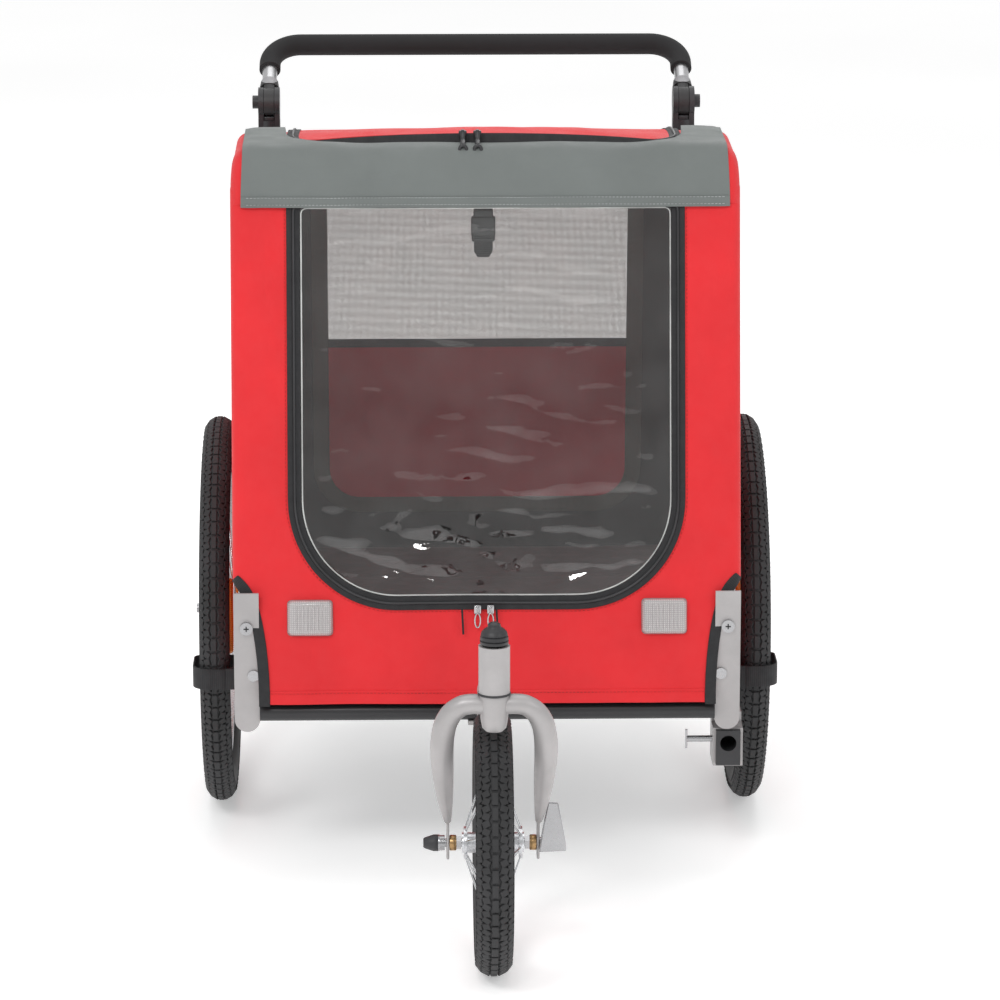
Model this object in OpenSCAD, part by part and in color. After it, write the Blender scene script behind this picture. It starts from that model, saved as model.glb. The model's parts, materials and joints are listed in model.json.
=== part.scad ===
// Child bicycle trailer in stroller form: a folding steel cage with fabric
// walls on a flat floor frame, two spoked rear wheels, a swivelling front
// wheel on an arm, and a tilting push handle.
// Millimetres, +Z up, the front faces -Y, the origin is on the ground.

/* [Wheels] */
// Radius of a rear wheel over its tyre
rear_r = 250; // [240:1:260]
// Radius of the front wheel over its tyre
front_r = 155; // [148:1:160]
// Width of every tyre
tyre_w = 47; // [42:1:50]
// Distance from the centre line to the middle of a rear tyre
track_half = 340; // [338:1:350]
// Number of spokes in a rear wheel
rear_spoke_count = 24; // [24:12:36]
// Number of spokes in the front wheel
front_spoke_count = 16; // [12:2:20]
// Distance from the front axle back to the rear axle
wheelbase = 700; // [690:1:720]
// Distance of the swivel axis ahead of the front axle
trail = 80; // [70:1:85]

/* [Cabin] */
// Half of the cabin's width over its side walls
cabin_half = 311; // [305:1:312]
// Height of the floor tubes' axis
floor_z = 215; // [210:1:220]
// Height of the fabric walls' bottom edge
wall_bottom_z = 228; // [226:1:232]
// Height of the front face's top edge
front_top_z = 884; // [880:1:890]
// Distance of the front face's bottom edge ahead of the rear axle
front_bottom = 380; // [378:1:384]
// Distance of the front face's top edge ahead of the rear axle
front_top = 250; // [245:1:255]
// Distance of the rear face's bottom edge behind the rear axle
rear_bottom = 390; // [388:1:394]
// Distance of the rear face's top edge behind the rear axle
rear_top = 332; // [328:1:336]
// Thickness of the fabric walls
cloth_t = 2; // [1:0.5:3]

/* [Front window] */
// Half of the window opening's width
window_half = 236; // [220:1:240]
// Height of the window opening's bottom edge
window_bottom_z = 350; // [340:1:360]
// Radius of the window's bottom corners
window_corner = 125; // [100:1:150]
// Height of the visor's hem
visor_hem_z = 826; // [820:1:832]

/* [Frame] */
// Radius of the folding side tubes
side_tube_r = 10; // [9:0.5:10.5]
// Radius of the floor tubes
floor_tube_r = 11; // [10:0.5:11.5]
// Wall thickness of the steel tubes
tube_wall = 1.5; // [1:0.1:2]
// Distance from the centre line to the side tubes' fold axes
fold_x = 295; // [293:0.5:296]
// Height of the fold axes
fold_z = 322; // [318:1:326]
// Reach of the left side frame above its fold axis, at the front
left_reach = 520; // [500:1:525]
// Reach of the right side frame above its fold axis, at the front
right_reach = 545; // [530:1:548]

/* [Handle] */
// Distance from the centre line to the handle posts
post_x = 282; // [280:1:284]
// Height of the handle's tilt axis
tilt_z = 850; // [845:1:855]
// Distance of the tilt axis behind the rear axle
tilt_back = 415; // [413:1:420]
// Distance of the grip behind the rear axle
grip_back = 520; // [515:1:525]
// Height of the grip's axis
grip_z = 913; // [905:1:920]
// Radius of the foam grip
grip_r = 14.5; // [13:0.5:16]

/* [Hidden] */
$fn = 64;

// Running clearance between a pin and its bore, on the radius
run = 0.05;
// How much fuller a tube is at its bends
bend_swell = 0.6;

// Places along the trailer
rear_axle_y = (wheelbase + front_r - grip_back - grip_r) / 2;
function back(d) = rear_axle_y + d;
front_axle_y = back(-wheelbase);
swivel_y = front_axle_y - trail;
front_pivot_y = back(-350);
rear_pivot_y = back(362);
tilt_y = back(tilt_back);

// Faces of the cabin
front_height = front_top_z - wall_bottom_z;
front_lean = atan((front_bottom - front_top) / front_height);
front_len = norm([front_bottom - front_top, front_height]);
roof_slope = 0.206;
roof_zero = 875;
roof_curve = (roof_zero + roof_slope * front_top - front_top_z) / (front_top * front_top);
function roof_z(d) = roof_zero - roof_slope * d - (d < 0 ? roof_curve * d * d : 0);
rear_top_z = roof_z(rear_top);
rear_height = rear_top_z - wall_bottom_z;
rear_lean = atan((rear_bottom - rear_top) / rear_height);
rear_len = norm([rear_bottom - rear_top, rear_height]);
function up_front(z) = (z - wall_bottom_z) / cos(front_lean);
function up_rear(z) = (z - wall_bottom_z) / cos(rear_lean);
roof_half = cabin_half - 11;
hatch_half = 235;
hatch_front = -195;
hatch_rear = 280;
door_half = 220;
door_bottom_z = 288;
door_top_z = 762;
door_corner = 60;
corner_cut_x = 274;
corner_cut_z = 372;
gap = 2;

// Side frames: how far each upright leans inwards along Y per unit of reach
front_rake = tan(front_lean);
rear_rake = tan(rear_lean);
nest_rake = 0.03;
rear_drop = 80;
elbow_r = side_tube_r + 4;

// Brackets at the four floor corners
ear_w = 31;
ear_t = 3;
// Distances from a fold axis's middle to the outer and the inner ear
ear_out = side_tube_r + 1.2;
ear_in = side_tube_r + 7;
ear_gap = ear_out + ear_in;
bracket_bottom = 190;
bracket_top = 366;
bolt_r = 4;
latch_r = 2.5;
latch_z = 262;
latch_x = fold_x - 8;
latch_arm = 12;

// Rear wheel
rim_seat_r = rear_r - tyre_w + 2;
rim_in_r = rim_seat_r - 13;
hub_flange_r = 20;
axle_r = 6;
hub_half = 22;

// Front wheel
front_seat_r = front_r - tyre_w + 2;
front_rim_in_r = front_seat_r - 11;
front_axle_r = 5;
front_hub_half = 36;
drop_x = 52;
drop_t = 4;

// Head
head_r = 18;
head_bottom = 359;
head_top = 415;
steerer_r = 14;
cap_stem_r = 6;

// Push handle
handle_lean = atan((grip_z - tilt_z) / (grip_back - tilt_back));
handle_len = norm([grip_z - tilt_z, grip_back - tilt_back]);
handle_bend = 42;
handle_tube_r = 10;
button_r = 9;

red = "#e02a2a";
slate = "#5d6468";
black = "#1d1d1f";
silver = "#b9bcc0";
chrome = "#d9dbde";

// ---------- shared shapes ----------

// A round bar or cone from point a to point b
module bar(a, b, ra, rb = -1) {
    v = b - a;
    translate(a)
        rotate([0, acos(v.z / norm(v)), atan2(v.y, v.x)])
            cylinder(h = norm(v), r1 = ra, r2 = rb < 0 ? ra : rb);
}

// A round bar through a list of points, with a slightly fuller ball at each bend
module bent_bar(points, r) {
    for (i = [0 : len(points) - 2]) bar(points[i], points[i + 1], r);
    for (i = [1 : len(points) - 2]) translate(points[i]) sphere(r + bend_swell);
}

// A cylinder along X whose low end is at x
module along_x(x, h, r) {
    translate([x, 0, 0]) rotate([0, 90, 0]) cylinder(h = h, r = r);
}

// A cylinder along Y whose low end is at y
module along_y(y, h, r) {
    translate([0, y, 0]) rotate([-90, 0, 0]) cylinder(h = h, r = r);
}

// A plate outline, w wide about x = 0 and from y = 0 to h, with its own
// corner radii at the bottom and at the top
module rounded_plate(w, h, r_low, r_high) {
    for (s = [-1, 1]) {
        translate([s * (w / 2 - r_low), r_low]) circle(r_low);
        translate([s * (w / 2 - r_high), h - r_high]) circle(r_high);
    }
    translate([-w / 2 + r_low, 0]) square([w - 2 * r_low, r_low]);
    translate([-w / 2, r_low]) square([w, h - r_low - r_high]);
    translate([-w / 2 + r_high, h - r_high - 0.01]) square([w - 2 * r_high, r_high + 0.01]);
}

// Lays an outline on the front face: x across, y up the face, outwards is -Y
module on_front(t, proud = 0) {
    translate([0, back(-front_bottom), wall_bottom_z])
        rotate([90 - front_lean, 0, 0])
            translate([0, 0, proud - t]) linear_extrude(t) children();
}

// Lays an outline on the rear face: x across, y up the face, outwards is +Y
module on_rear(t, proud = 0) {
    translate([0, back(rear_bottom), wall_bottom_z])
        rotate([90 + rear_lean, 0, 0])
            translate([0, 0, -proud]) linear_extrude(t) children();
}

// The lower corners that both end walls leave free for the brackets
module corner_cuts() {
    for (s = [-1, 1]) scale([s, 1]) difference() {
        translate([corner_cut_x, -1]) square([60, up_front(corner_cut_z) + 1]);
        difference() {
            translate([corner_cut_x - 1, up_front(corner_cut_z) - 24]) square([25, 25]);
            translate([corner_cut_x + 24, up_front(corner_cut_z) - 24]) circle(24);
        }
    }
}

// A slab that follows the roof from d0 to d1 behind the rear axle
module roof_slab(d0, d1, half, low, high) {
    steps = 14;
    ds = [for (i = [0 : steps]) d0 + (d1 - d0) * i / steps];
    outline = concat([for (d = ds) [back(d), roof_z(d) + high]],
                     [for (i = [steps : -1 : 0]) [back(ds[i]), roof_z(ds[i]) + low]]);
    translate([-half, 0, 0]) rotate([90, 0, 90]) linear_extrude(2 * half) polygon(outline);
}

// ---------- floor frame ----------

module floor_rails() {
    color(silver) for (s = [-1, 1]) translate([s * 262, 0, floor_z]) difference() {
        along_y(front_pivot_y - 12 + floor_tube_r, rear_pivot_y - front_pivot_y + 12
                - 2 * floor_tube_r, floor_tube_r);
        along_y(front_pivot_y - 20, 800, floor_tube_r - tube_wall);
    }
}

module floor_crosses() {
    color(silver) for (y = [front_pivot_y - 12, rear_pivot_y]) translate([0, y, floor_z])
        difference() {
            along_x(-fold_x + ear_w / 2, 2 * fold_x - ear_w, floor_tube_r);
            along_x(-400, 800, floor_tube_r - tube_wall);
        }
}

module floor_mat() {
    color(slate) translate([-268, front_pivot_y - 2, floor_z + floor_tube_r + 0.5])
        cube([536, rear_pivot_y - front_pivot_y - 6, 19]);
}

// One ear: a plate across Y with a round foot, whose near face is at y
module ear(y, top) {
    translate([-ear_w / 2, y, bracket_bottom + ear_w / 2])
        cube([ear_w, ear_t, top - bracket_bottom - ear_w / 2]);
    translate([0, y, bracket_bottom + ear_w / 2]) along_y(0, ear_t, ear_w / 2);
}

// An open channel: a tall outer ear, an inner ear that ends just above the
// fold axis and leaves the leaning tube free, and a web on the inner side.
// Its outer ear faces -Y.
module bracket(s) {
    translate([s * fold_x, 0, 0]) difference() {
        union() {
            ear(-ear_out - ear_t, bracket_top);
            ear(ear_in, fold_z + ear_w / 2);
            translate([s > 0 ? -ear_w / 2 : ear_w / 2 - ear_t, -ear_out - 1,
                       bracket_bottom + ear_w / 2])
                cube([ear_t, ear_gap + 2, fold_z - side_tube_r - 8 - bracket_bottom
                      - ear_w / 2]);
        }
        translate([0, 0, fold_z]) along_y(-50, 100, bolt_r + run);
        translate([s * (latch_x - fold_x), 0, latch_z]) along_y(-50, 100, latch_r + run);
    }
}

module front_brackets() {
    color(silver) for (s = [-1, 1]) translate([0, front_pivot_y, 0]) bracket(s);
}

module rear_brackets() {
    color(silver) for (s = [-1, 1]) translate([0, rear_pivot_y, 0]) scale([1, -1, 1]) bracket(s);
}

// A fold bolt whose head is on the outer ear, which faces -Y
module fold_bolt() {
    head = -ear_out - ear_t;
    translate([0, 0, fold_z]) {
        along_y(head - 1, ear_gap + 2 * ear_t + 2, bolt_r);
        along_y(head - 4, 4, 8);
        translate([0, ear_in + ear_t, 0]) rotate([-90, 0, 0]) cylinder(h = 5, r = 7.5, $fn = 6);
    }
}

// The fold bolts with their heads and nuts, two at the front and two behind
module frame_bolts() {
    color(chrome) for (s = [-1, 1]) translate([s * fold_x, 0, 0]) {
        translate([0, front_pivot_y, 0]) fold_bolt();
        translate([0, rear_pivot_y, 0]) scale([1, -1, 1]) fold_bolt();
    }
}

module frame_latch(s) {
    front = front_pivot_y - ear_out - ear_t;
    color(chrome) translate([s * latch_x, front, latch_z]) {
        along_y(-3, ear_t + 6, latch_r);
        translate([0, -2.8, 0]) {
            along_y(0, 2.5, 7);
            translate([s > 0 ? -latch_arm : 0, 0, -5]) cube([latch_arm, 2.5, 10]);
            translate([s > 0 ? -latch_arm : latch_arm - 3, -6, -9]) cube([3, 8.5, 18]);
        }
    }
}
module frame_latch_left() { frame_latch(-1); }
module frame_latch_right() { frame_latch(1); }

// ---------- front arm and head ----------

arm_points = [[0, swivel_y + head_r - 4, 386], [0, back(-530), 290], [0, back(-425), 186],
              [0, back(-180), 186]];
arm_r = 15;

module front_arm() {
    color(silver) difference() {
        union() {
            bent_bar(arm_points, arm_r);
            for (y = [front_pivot_y - 12, back(-200)]) translate([-24, y - 9, 0])
                translate([0, 0, 199]) cube([48, 18, floor_z - floor_tube_r - 199]);
        }
        translate([0, swivel_y, 0]) cylinder(h = 600, r = head_r);
    }
}

module head_tube() {
    color(silver) translate([0, swivel_y, head_bottom]) difference() {
        cylinder(h = head_top - head_bottom, r = head_r);
        translate([0, 0, -1]) cylinder(h = 80, r = steerer_r + run);
    }
}

module swivel_cap() {
    color(black) translate([0, swivel_y, 0]) {
        translate([0, 0, head_top + 3]) cylinder(h = 18, r = 16.5);
        translate([0, 0, head_top + 21]) scale([1, 1, 0.45]) intersection() {
            sphere(15);
            translate([-20, -20, 0]) cube(40);
        }
        translate([0, 0, head_top - 22]) cylinder(h = 26, r = cap_stem_r);
    }
}

// ---------- front fork ----------

module fork() {
    crown_z = 340;
    leg_x = 59;
    color(silver) difference() {
        union() {
            translate([0, swivel_y, 324]) cylinder(h = head_bottom - 3 - 324, r = 18.5);
            translate([0, swivel_y, 350]) cylinder(h = head_top + 1 - 350, r = steerer_r);
            translate([0, swivel_y, head_bottom - 3]) cylinder(h = 2.5, r = 19.5);
            for (s = [-1, 1]) {
                bent_bar([[0, swivel_y, crown_z], [s * 34, swivel_y + 4, crown_z - 4],
                          [s * 52, swivel_y + 8, crown_z - 20],
                          [s * leg_x, swivel_y + 18, crown_z - 48]], 12.5);
                translate([s * leg_x, swivel_y + 18, crown_z - 48]) sphere(12.5 + bend_swell);
                bar([s * leg_x, swivel_y + 18, crown_z - 48],
                    [s * 55, front_axle_y - 6, front_r + 24], 12.5, 7);
                translate([s * 55, front_axle_y - 6, front_r + 24]) sphere(7 + bend_swell);
                translate([s * drop_x - drop_t / 2 + s, front_axle_y, front_r]) {
                    along_x(0, drop_t, 11);
                    translate([0, -15, 4]) cube([drop_t, 20, 24]);
                }
            }
        }
        translate([0, swivel_y, head_top - 26]) cylinder(h = 40, r = cap_stem_r + run);
        translate([0, front_axle_y, front_r]) along_x(-90, 180, front_axle_r + run);
    }
}

module front_axle() {
    color(chrome) translate([0, front_axle_y, front_r]) {
        along_x(-76, 138, front_axle_r);
        for (s = [-1, 1]) translate([s > 0 ? 37 : -49, 0, 0]) rotate([0, 90, 0])
            cylinder(h = 12, r = 8, $fn = 6);
        along_x(-62, 6, 9);
        translate([-62, 0, 0]) rotate([0, -90, 0]) cylinder(h = 14, r1 = 10, r2 = 6);
    }
}

// The cam lever of the front wheel's quick release
module qr_lever() {
    color(silver) translate([63, front_axle_y, front_r]) {
        translate([7, 0, 0]) along_y(-9, 18, 7);
        translate([8, -8, 2]) rotate([0, 14, 0]) cube([3, 16, 52]);
    }
}

// ---------- wheels ----------

// A tyre about the X axis, r over the tread, standing on a rim seat
module tyre(x, y, z, r, seat) {
    color(black) translate([x, y, z]) rotate([0, 90, 0]) rotate_extrude()
        intersection() {
            translate([r - tyre_w / 2, 0]) circle(tyre_w / 2);
            translate([seat, -tyre_w]) square([tyre_w, 2 * tyre_w]);
        }
}

// A box-section rim with raised edges that hold the tyre
module rim(x, y, z, seat, inner) {
    color(silver) translate([x, y, z]) rotate([0, 90, 0]) rotate_extrude()
        translate([inner, -11]) square([seat - inner, 22]);
}

// A hub about the X axis with two spoke flanges
module hub(x, y, z, half, flange, body, bore) {
    color(silver) translate([x, y, z]) difference() {
        union() {
            along_x(-half, 2 * half, body);
            for (s = [-1, 1]) along_x(s * (half - 4) - 2, 4, flange);
        }
        along_x(-half - 1, 2 * half + 2, bore + run);
    }
}

// Spokes that run from alternate flanges to the rim's middle
module spokes(x, y, z, count, flange_x, r0, r1, thick) {
    color(chrome) translate([x, y, z]) for (i = [0 : count - 1]) {
        a = 360 * i / count;
        f = (i % 2 == 0 ? 1 : -1) * flange_x;
        bar([f, r0 * cos(a), r0 * sin(a)], [f * 0.12, r1 * cos(a), r1 * sin(a)], thick);
    }
}

// The two-sided reflector that clips between a rear wheel's spokes
module spoke_reflector(x) {
    color("orange") for (a = [172.5, 352.5])
        translate([x, back(0), rear_r]) rotate([a, 0, 0])
            translate([-2.5, 122, -4]) cube([5, 34, 8]);
}

module rear_spokes(s) {
    spokes(s * track_half, back(0), rear_r, rear_spoke_count, hub_half - 4,
           hub_flange_r - 1.5, rim_in_r + 1.5, 1.1);
    spoke_reflector(s * track_half);
}
module rear_hub(s) {
    hub(s * track_half, back(0), rear_r, hub_half, hub_flange_r, 13, axle_r);
}
module rear_tyre(s) { tyre(s * track_half, back(0), rear_r, rear_r, rim_seat_r); }
module rear_rim(s) { rim(s * track_half, back(0), rear_r, rim_seat_r, rim_in_r); }
module rear_tyre_left() { rear_tyre(-1); }
module rear_tyre_right() { rear_tyre(1); }
module rear_rim_left() { rear_rim(-1); }
module rear_rim_right() { rear_rim(1); }
module rear_spokes_left() { rear_spokes(-1); }
module rear_spokes_right() { rear_spokes(1); }
module rear_hub_left() { rear_hub(-1); }
module rear_hub_right() { rear_hub(1); }

module front_tyre() { tyre(0, front_axle_y, front_r, front_r, front_seat_r); }
module front_rim() { rim(0, front_axle_y, front_r, front_seat_r, front_rim_in_r); }
module front_spokes() {
    spokes(0, front_axle_y, front_r, front_spoke_count, front_hub_half - 4, 17.5,
           front_rim_in_r + 1.5, 1.1);
}
module front_hub() {
    hub(0, front_axle_y, front_r, front_hub_half, 19, 12, front_axle_r);
}

// Steel seats on the floor rails that take the rear wheels' plug-in axles
module wheel_mounts() {
    color(silver) for (s = [-1, 1]) scale([s, 1, 1]) difference() {
        union() {
            translate([250, back(-25), floor_z - floor_tube_r - 5]) cube([54, 50, 5]);
            translate([299, back(-25), floor_z - floor_tube_r - 1]) cube([5, 50, 72]);
            translate([0, back(0), rear_r]) along_x(292.5, 19.5, 13);
        }
        translate([0, back(0), rear_r]) along_x(280, 40, axle_r + run);
    }
}

module rear_axles() {
    color(chrome) for (s = [-1, 1]) scale([s, 1, 1]) translate([0, back(0), rear_r])
        difference() {
            union() {
                along_x(289, track_half + hub_half + 0.5 - 289, axle_r);
                along_x(track_half + hub_half + 0.4, 4, 10);
            }
            along_x(track_half + hub_half - 20, 40, 3.5 + run);
        }
}

module release_button(s) {
    color(chrome) scale([s, 1, 1]) translate([0, back(0), rear_r]) {
        along_x(track_half + hub_half - 10, 16, 3.5);
        along_x(track_half + hub_half + 6, 4, 6);
    }
}
module release_button_left() { release_button(-1); }
module release_button_right() { release_button(1); }

// ---------- towing hitch ----------

hitch_x = 297;
hitch_z = 172;
hitch_front = front_pivot_y - 16;

module hitch_socket() {
    color(black) translate([hitch_x, hitch_front, hitch_z]) difference() {
        translate([-15, 0, -28]) cube([30, 70, 44]);
        along_y(-1, 56, 10);
        translate([0, 22, 0]) along_x(-20, 40, 4 + run);
    }
}

module hitch_bracket() {
    color(silver) translate([hitch_x, hitch_front, 0]) difference() {
        translate([-18.5, 8, hitch_z - 31]) cube([37, 50, 61]);
        translate([-15, 0, hitch_z - 28]) cube([30, 70, 44]);
        translate([-40, 0, bracket_bottom - 0.5])
            cube([80, front_pivot_y + ear_in + ear_t + 1 - hitch_front, 40]);
        translate([0, 22, hitch_z]) along_x(-20, 40, 4 + run);
    }
}

// The spring pin that holds a tow arm, parked pulled out
module hitch_pin() {
    color(chrome) translate([0, hitch_front + 22, hitch_z]) {
        along_x(hitch_x - 50, 38, 4);
        translate([hitch_x - 52, -1.5, -12]) cube([3, 3, 24]);
    }
}

// ---------- parking straps ----------

// A webbing loop round each rear tyre, just below the hub's height
module parking_straps() {
    low = rear_r - 38.3;
    tall = 28;
    front = back(-rear_r - 3.5);
    deep = rear_r + 3.5 - 184;
    in_x = track_half - tyre_w / 2 - 3.5;
    out_x = track_half + tyre_w / 2 + 3.5;
    color(black) for (s = [-1, 1]) scale([s, 1, 1]) translate([0, 0, low]) {
        difference() {
            translate([in_x, front, 0]) cube([out_x - in_x, deep, tall]);
            translate([in_x + 2, front + 2, -1]) cube([out_x - in_x - 4, deep - 4, tall + 2]);
        }
        translate([273.5, front, 0]) cube([in_x - 273.5 + 1, 2, tall]);
    }
}

// ---------- folding side frames ----------

// One upright, the top rail and the other upright of a side frame, with a
// round lug on each fold axis
module side_tube(s, reach, nest) {
    f0 = [s * fold_x, front_pivot_y, fold_z];
    r0 = [s * fold_x, rear_pivot_y, fold_z];
    f1 = f0 + [0, (front_rake + nest) * reach, reach];
    r1 = r0 + [0, -(rear_rake + nest) * (reach - rear_drop), reach - rear_drop];
    color(silver) difference() {
        union() {
            bar(f0, f1, side_tube_r);
            bar(f1, r1, side_tube_r);
            bar(r0, r1, side_tube_r);
            for (p = [f1, r1]) translate(p) rotate([0, 90, 0])
                cylinder(h = 2 * side_tube_r + 2, r = elbow_r, center = true);
            translate(f0) along_y(-ear_out + 0.7, ear_gap - 1.4, side_tube_r + 2);
            translate(r0) along_y(-ear_in + 0.7, ear_gap - 1.4, side_tube_r + 2);
        }
        for (p = [f0, r0]) translate(p) rotate([90, 0, 0])
            cylinder(h = 60, r = bolt_r + run, center = true);
    }
}
module side_tube_left() { side_tube(-1, left_reach, 3 * nest_rake); }
module side_tube_right() { side_tube(1, right_reach, nest_rake); }

// A side wall, which starts above the fold axis and stops short of the roof
module side_panel(s) {
    low = 402;
    drop = 22;
    function front_d(z) = -front_bottom + front_rake * (z - wall_bottom_z) + 5;
    function rear_d(z) = rear_bottom - rear_rake * (z - wall_bottom_z) - 5;
    ds = [for (i = [0 : 10]) -235 + 555 * i / 10];
    outline = concat([[back(front_d(low)), low]],
                     [for (d = ds) [back(d), roof_z(d) - drop]],
                     [[back(rear_d(low)), low]]);
    color(red) translate([s > 0 ? cabin_half - cloth_t : -cabin_half, 0, 0])
        rotate([90, 0, 90]) linear_extrude(cloth_t) polygon(outline);
}
module side_panel_left() { side_panel(-1); }
module side_panel_right() { side_panel(1); }

// The lower side walls, which stay with the floor when the frames fold
module side_skirts() {
    color(red) for (s = [-1, 1]) translate([s > 0 ? 279.5 : -282, front_pivot_y + 24, 243])
        cube([2.5, rear_pivot_y - front_pivot_y - 48, 140]);
}

// ---------- end walls ----------

module window_outline(grow = 0) {
    low = up_front(window_bottom_z) - grow;
    high = up_front(visor_hem_z) + grow;
    translate([0, low])
        rounded_plate(2 * (window_half + grow), high - low, window_corner + grow, 12 + grow);
}

module front_panel() {
    color(red) on_front(cloth_t) difference() {
        translate([-cabin_half + 3, 0]) square([2 * cabin_half - 6, front_len - 24]);
        window_outline();
        corner_cuts();
    }
}

// The clear door: a vinyl sheet in a bound zip edge, hung from its top
module front_window() {
    low = up_front(window_bottom_z) + gap;
    high = up_front(visor_hem_z) - 5;
    color([0.75, 0.78, 0.8, 0.5]) {
        on_front(1, -0.5) translate([0, low])
            rounded_plate(2 * (window_half - gap), high - low, window_corner - gap, 12);
        on_front(4, 1) translate([0, low]) difference() {
            rounded_plate(2 * (window_half - gap), high - low, window_corner - gap, 12);
            translate([0, 14]) rounded_plate(2 * (window_half - gap - 14), high - low - 20,
                                             window_corner - gap - 14, 8);
        }
    }
}

module visor() {
    low = up_front(visor_hem_z);
    color(slate) {
        on_front(2, 2.6) translate([-roof_half + 5, low])
            square([2 * roof_half - 10, front_len - low - 6]);
        roof_slab(-243, -206, roof_half - 5, 2.6, 4.6);
    }
}

module roof_panel() {
    color(red) difference() {
        roof_slab(-front_top + 6, rear_top - 5, roof_half, 0, cloth_t);
        translate([-hatch_half - gap, back(hatch_front - gap), 700])
            cube([2 * (hatch_half + gap), hatch_rear - hatch_front + 2 * gap, 300]);
    }
}

module roof_hatch() {
    color(red) roof_slab(hatch_front, hatch_rear, hatch_half, 0, cloth_t);
}

module rear_panel() {
    low = up_rear(door_bottom_z);
    high = up_rear(door_top_z);
    color("#7b2326") on_rear(cloth_t) difference() {
        translate([-cabin_half + 3, 0]) square([2 * cabin_half - 6, rear_len - 6]);
        translate([0, low - gap]) rounded_plate(2 * (door_half + gap), high - low + 2 * gap,
                                                door_corner, 12);
        corner_cuts();
    }
}

// The rear door: a solid lower half and a mesh upper half, hung from its top
module rear_door() {
    low = up_rear(door_bottom_z);
    high = up_rear(door_top_z) - 5;
    color("#8f8f8a") on_rear(cloth_t) translate([0, low])
        rounded_plate(2 * door_half, high - low, door_corner - gap, 10);
}

// ---------- trim ----------

// A zip slider with its hanging pull
module slider(x, y, z, tilt) {
    translate([x, y, z]) rotate([tilt, 0, 0]) {
        translate([-4, -2.4, -5]) cube([8, 2.4, 10]);
        translate([-2, -4.2, -18]) cube([4, 1.6, 16]);
        translate([-1.5, -3.4, -4]) cube([3, 1.4, 4]);
    }
}

module roof_slider(s) {
    d = -202;
    color(black) slider(s * 9 - 7, back(d), roof_z(d) + 6.5, -84);
}
module roof_slider_left() { roof_slider(-1); }
module roof_slider_right() { roof_slider(1); }

module window_slider(s) {
    z = window_bottom_z - 6;
    d = -front_bottom + front_rake * (z - wall_bottom_z);
    color(chrome) slider(s * 8 + 2, back(d) - 0.6, z, -front_lean);
}
module window_slider_left() { window_slider(-1); }
module window_slider_right() { window_slider(1); }

module reflectors() {
    color("white") for (s = [-1, 1]) on_front(9, 9.3)
        translate([s * 217 - 28, up_front(311)]) square([56, 44]);
}

// A short webbing tail with half a buckle, hung from the roof's edge
module tether_strap() {
    d = -213;
    color(black) translate([-2, back(d), 0]) {
        translate([-12, 0, 755]) cube([24, 2, 116]);
        translate([-15, -4, 775]) cube([30, 10, 34]);
    }
}

// ---------- push handle ----------

module handle_posts() {
    color(silver) for (s = [-1, 1]) translate([s * post_x, tilt_y, 0]) difference() {
        translate([0, 0, 200]) cylinder(h = 600, r = 11);
        translate([0, 0, 190]) cylinder(h = 620, r = 11 - tube_wall);
    }
}

module post_feet() {
    color(black) for (s = [-1, 1]) difference() {
        union() {
            translate([s * post_x, tilt_y, 202]) cylinder(h = 24, r = 15);
            translate([s * (post_x - 20) - 8, rear_pivot_y + floor_tube_r, 206])
                cube([16, tilt_y - rear_pivot_y - floor_tube_r, 18]);
            translate([s > 0 ? post_x - 28 : -post_x, tilt_y - 10, 206]) cube([28, 10, 18]);
        }
        translate([s * post_x, tilt_y, 100]) cylinder(h = 200, r = 11 + run);
        translate([s * fold_x - 16.5, rear_pivot_y - 30, 150])
            cube([33, 30 + ear_out + ear_t + 0.3, 200]);
    }
}

// The lower half of each tilt joint: a cup on the post with two cheeks
module handle_knuckles() {
    color(black) for (s = [-1, 1]) translate([s * post_x, tilt_y, 0]) scale([s, 1, 1])
        difference() {
            union() {
                translate([0, 0, 786]) cylinder(h = 40, r = 15);
                for (x = [-14.5, 7.5]) translate([x, 0, 0]) {
                    translate([0, 0, tilt_z]) along_x(0, 7, 20);
                    translate([0, -13, 812]) cube([7, 26, tilt_z - 812]);
                }
                translate([0, 0, tilt_z]) along_x(-14.5, 14, 4);
            }
            translate([0, 0, 700]) cylinder(h = 100, r = 11 + run);
            translate([0, 0, tilt_z]) along_x(7, 20, button_r + run);
        }
}

// Points of the handle's own plane: x across, y out along the arms
module in_handle_plane() {
    translate([0, tilt_y, tilt_z]) rotate([handle_lean, 0, 0]) children();
}

// The upper half of each tilt joint: a tongue and the arm's socket
module handle_yokes() {
    color("#7d8083") for (s = [-1, 1]) difference() {
        union() {
            translate([s * post_x, tilt_y, tilt_z]) along_x(-7, 14, 19);
            in_handle_plane() translate([s * post_x, 0, 0]) {
                intersection() {
                    along_y(10, 28, 13);
                    translate([-7, 0, -20]) cube([14, 24, 40]);
                }
                translate([0, 24, 0]) rotate([-90, 0, 0]) cylinder(h = 16, r1 = 14, r2 = 12);
            }
        }
        translate([s * post_x, tilt_y, tilt_z]) {
            along_x(-20, 40, 4 + run);
            along_x(s > 0 ? 0 : -20, 20, button_r + 0.3);
        }
        in_handle_plane() translate([s * post_x, 0, 0]) along_y(26, 30, handle_tube_r + run);
    }
}

// A flat U in the handle's plane, from the sockets round the grip
module handle_u(r, start) {
    arm = handle_len - handle_bend;
    for (s = [-1, 1]) {
        translate([s * post_x, 0, 0]) along_y(start, arm - start, r);
        translate([s * (post_x - handle_bend), arm, 0])
            rotate([0, 0, s > 0 ? 0 : 90]) rotate_extrude(angle = 90)
                translate([handle_bend, 0]) circle(r);
    }
    translate([0, handle_len, 0])
        along_x(-post_x + handle_bend, 2 * (post_x - handle_bend), r);
}

module handle_bar() {
    color(silver) in_handle_plane() handle_u(handle_tube_r, 28);
}

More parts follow.
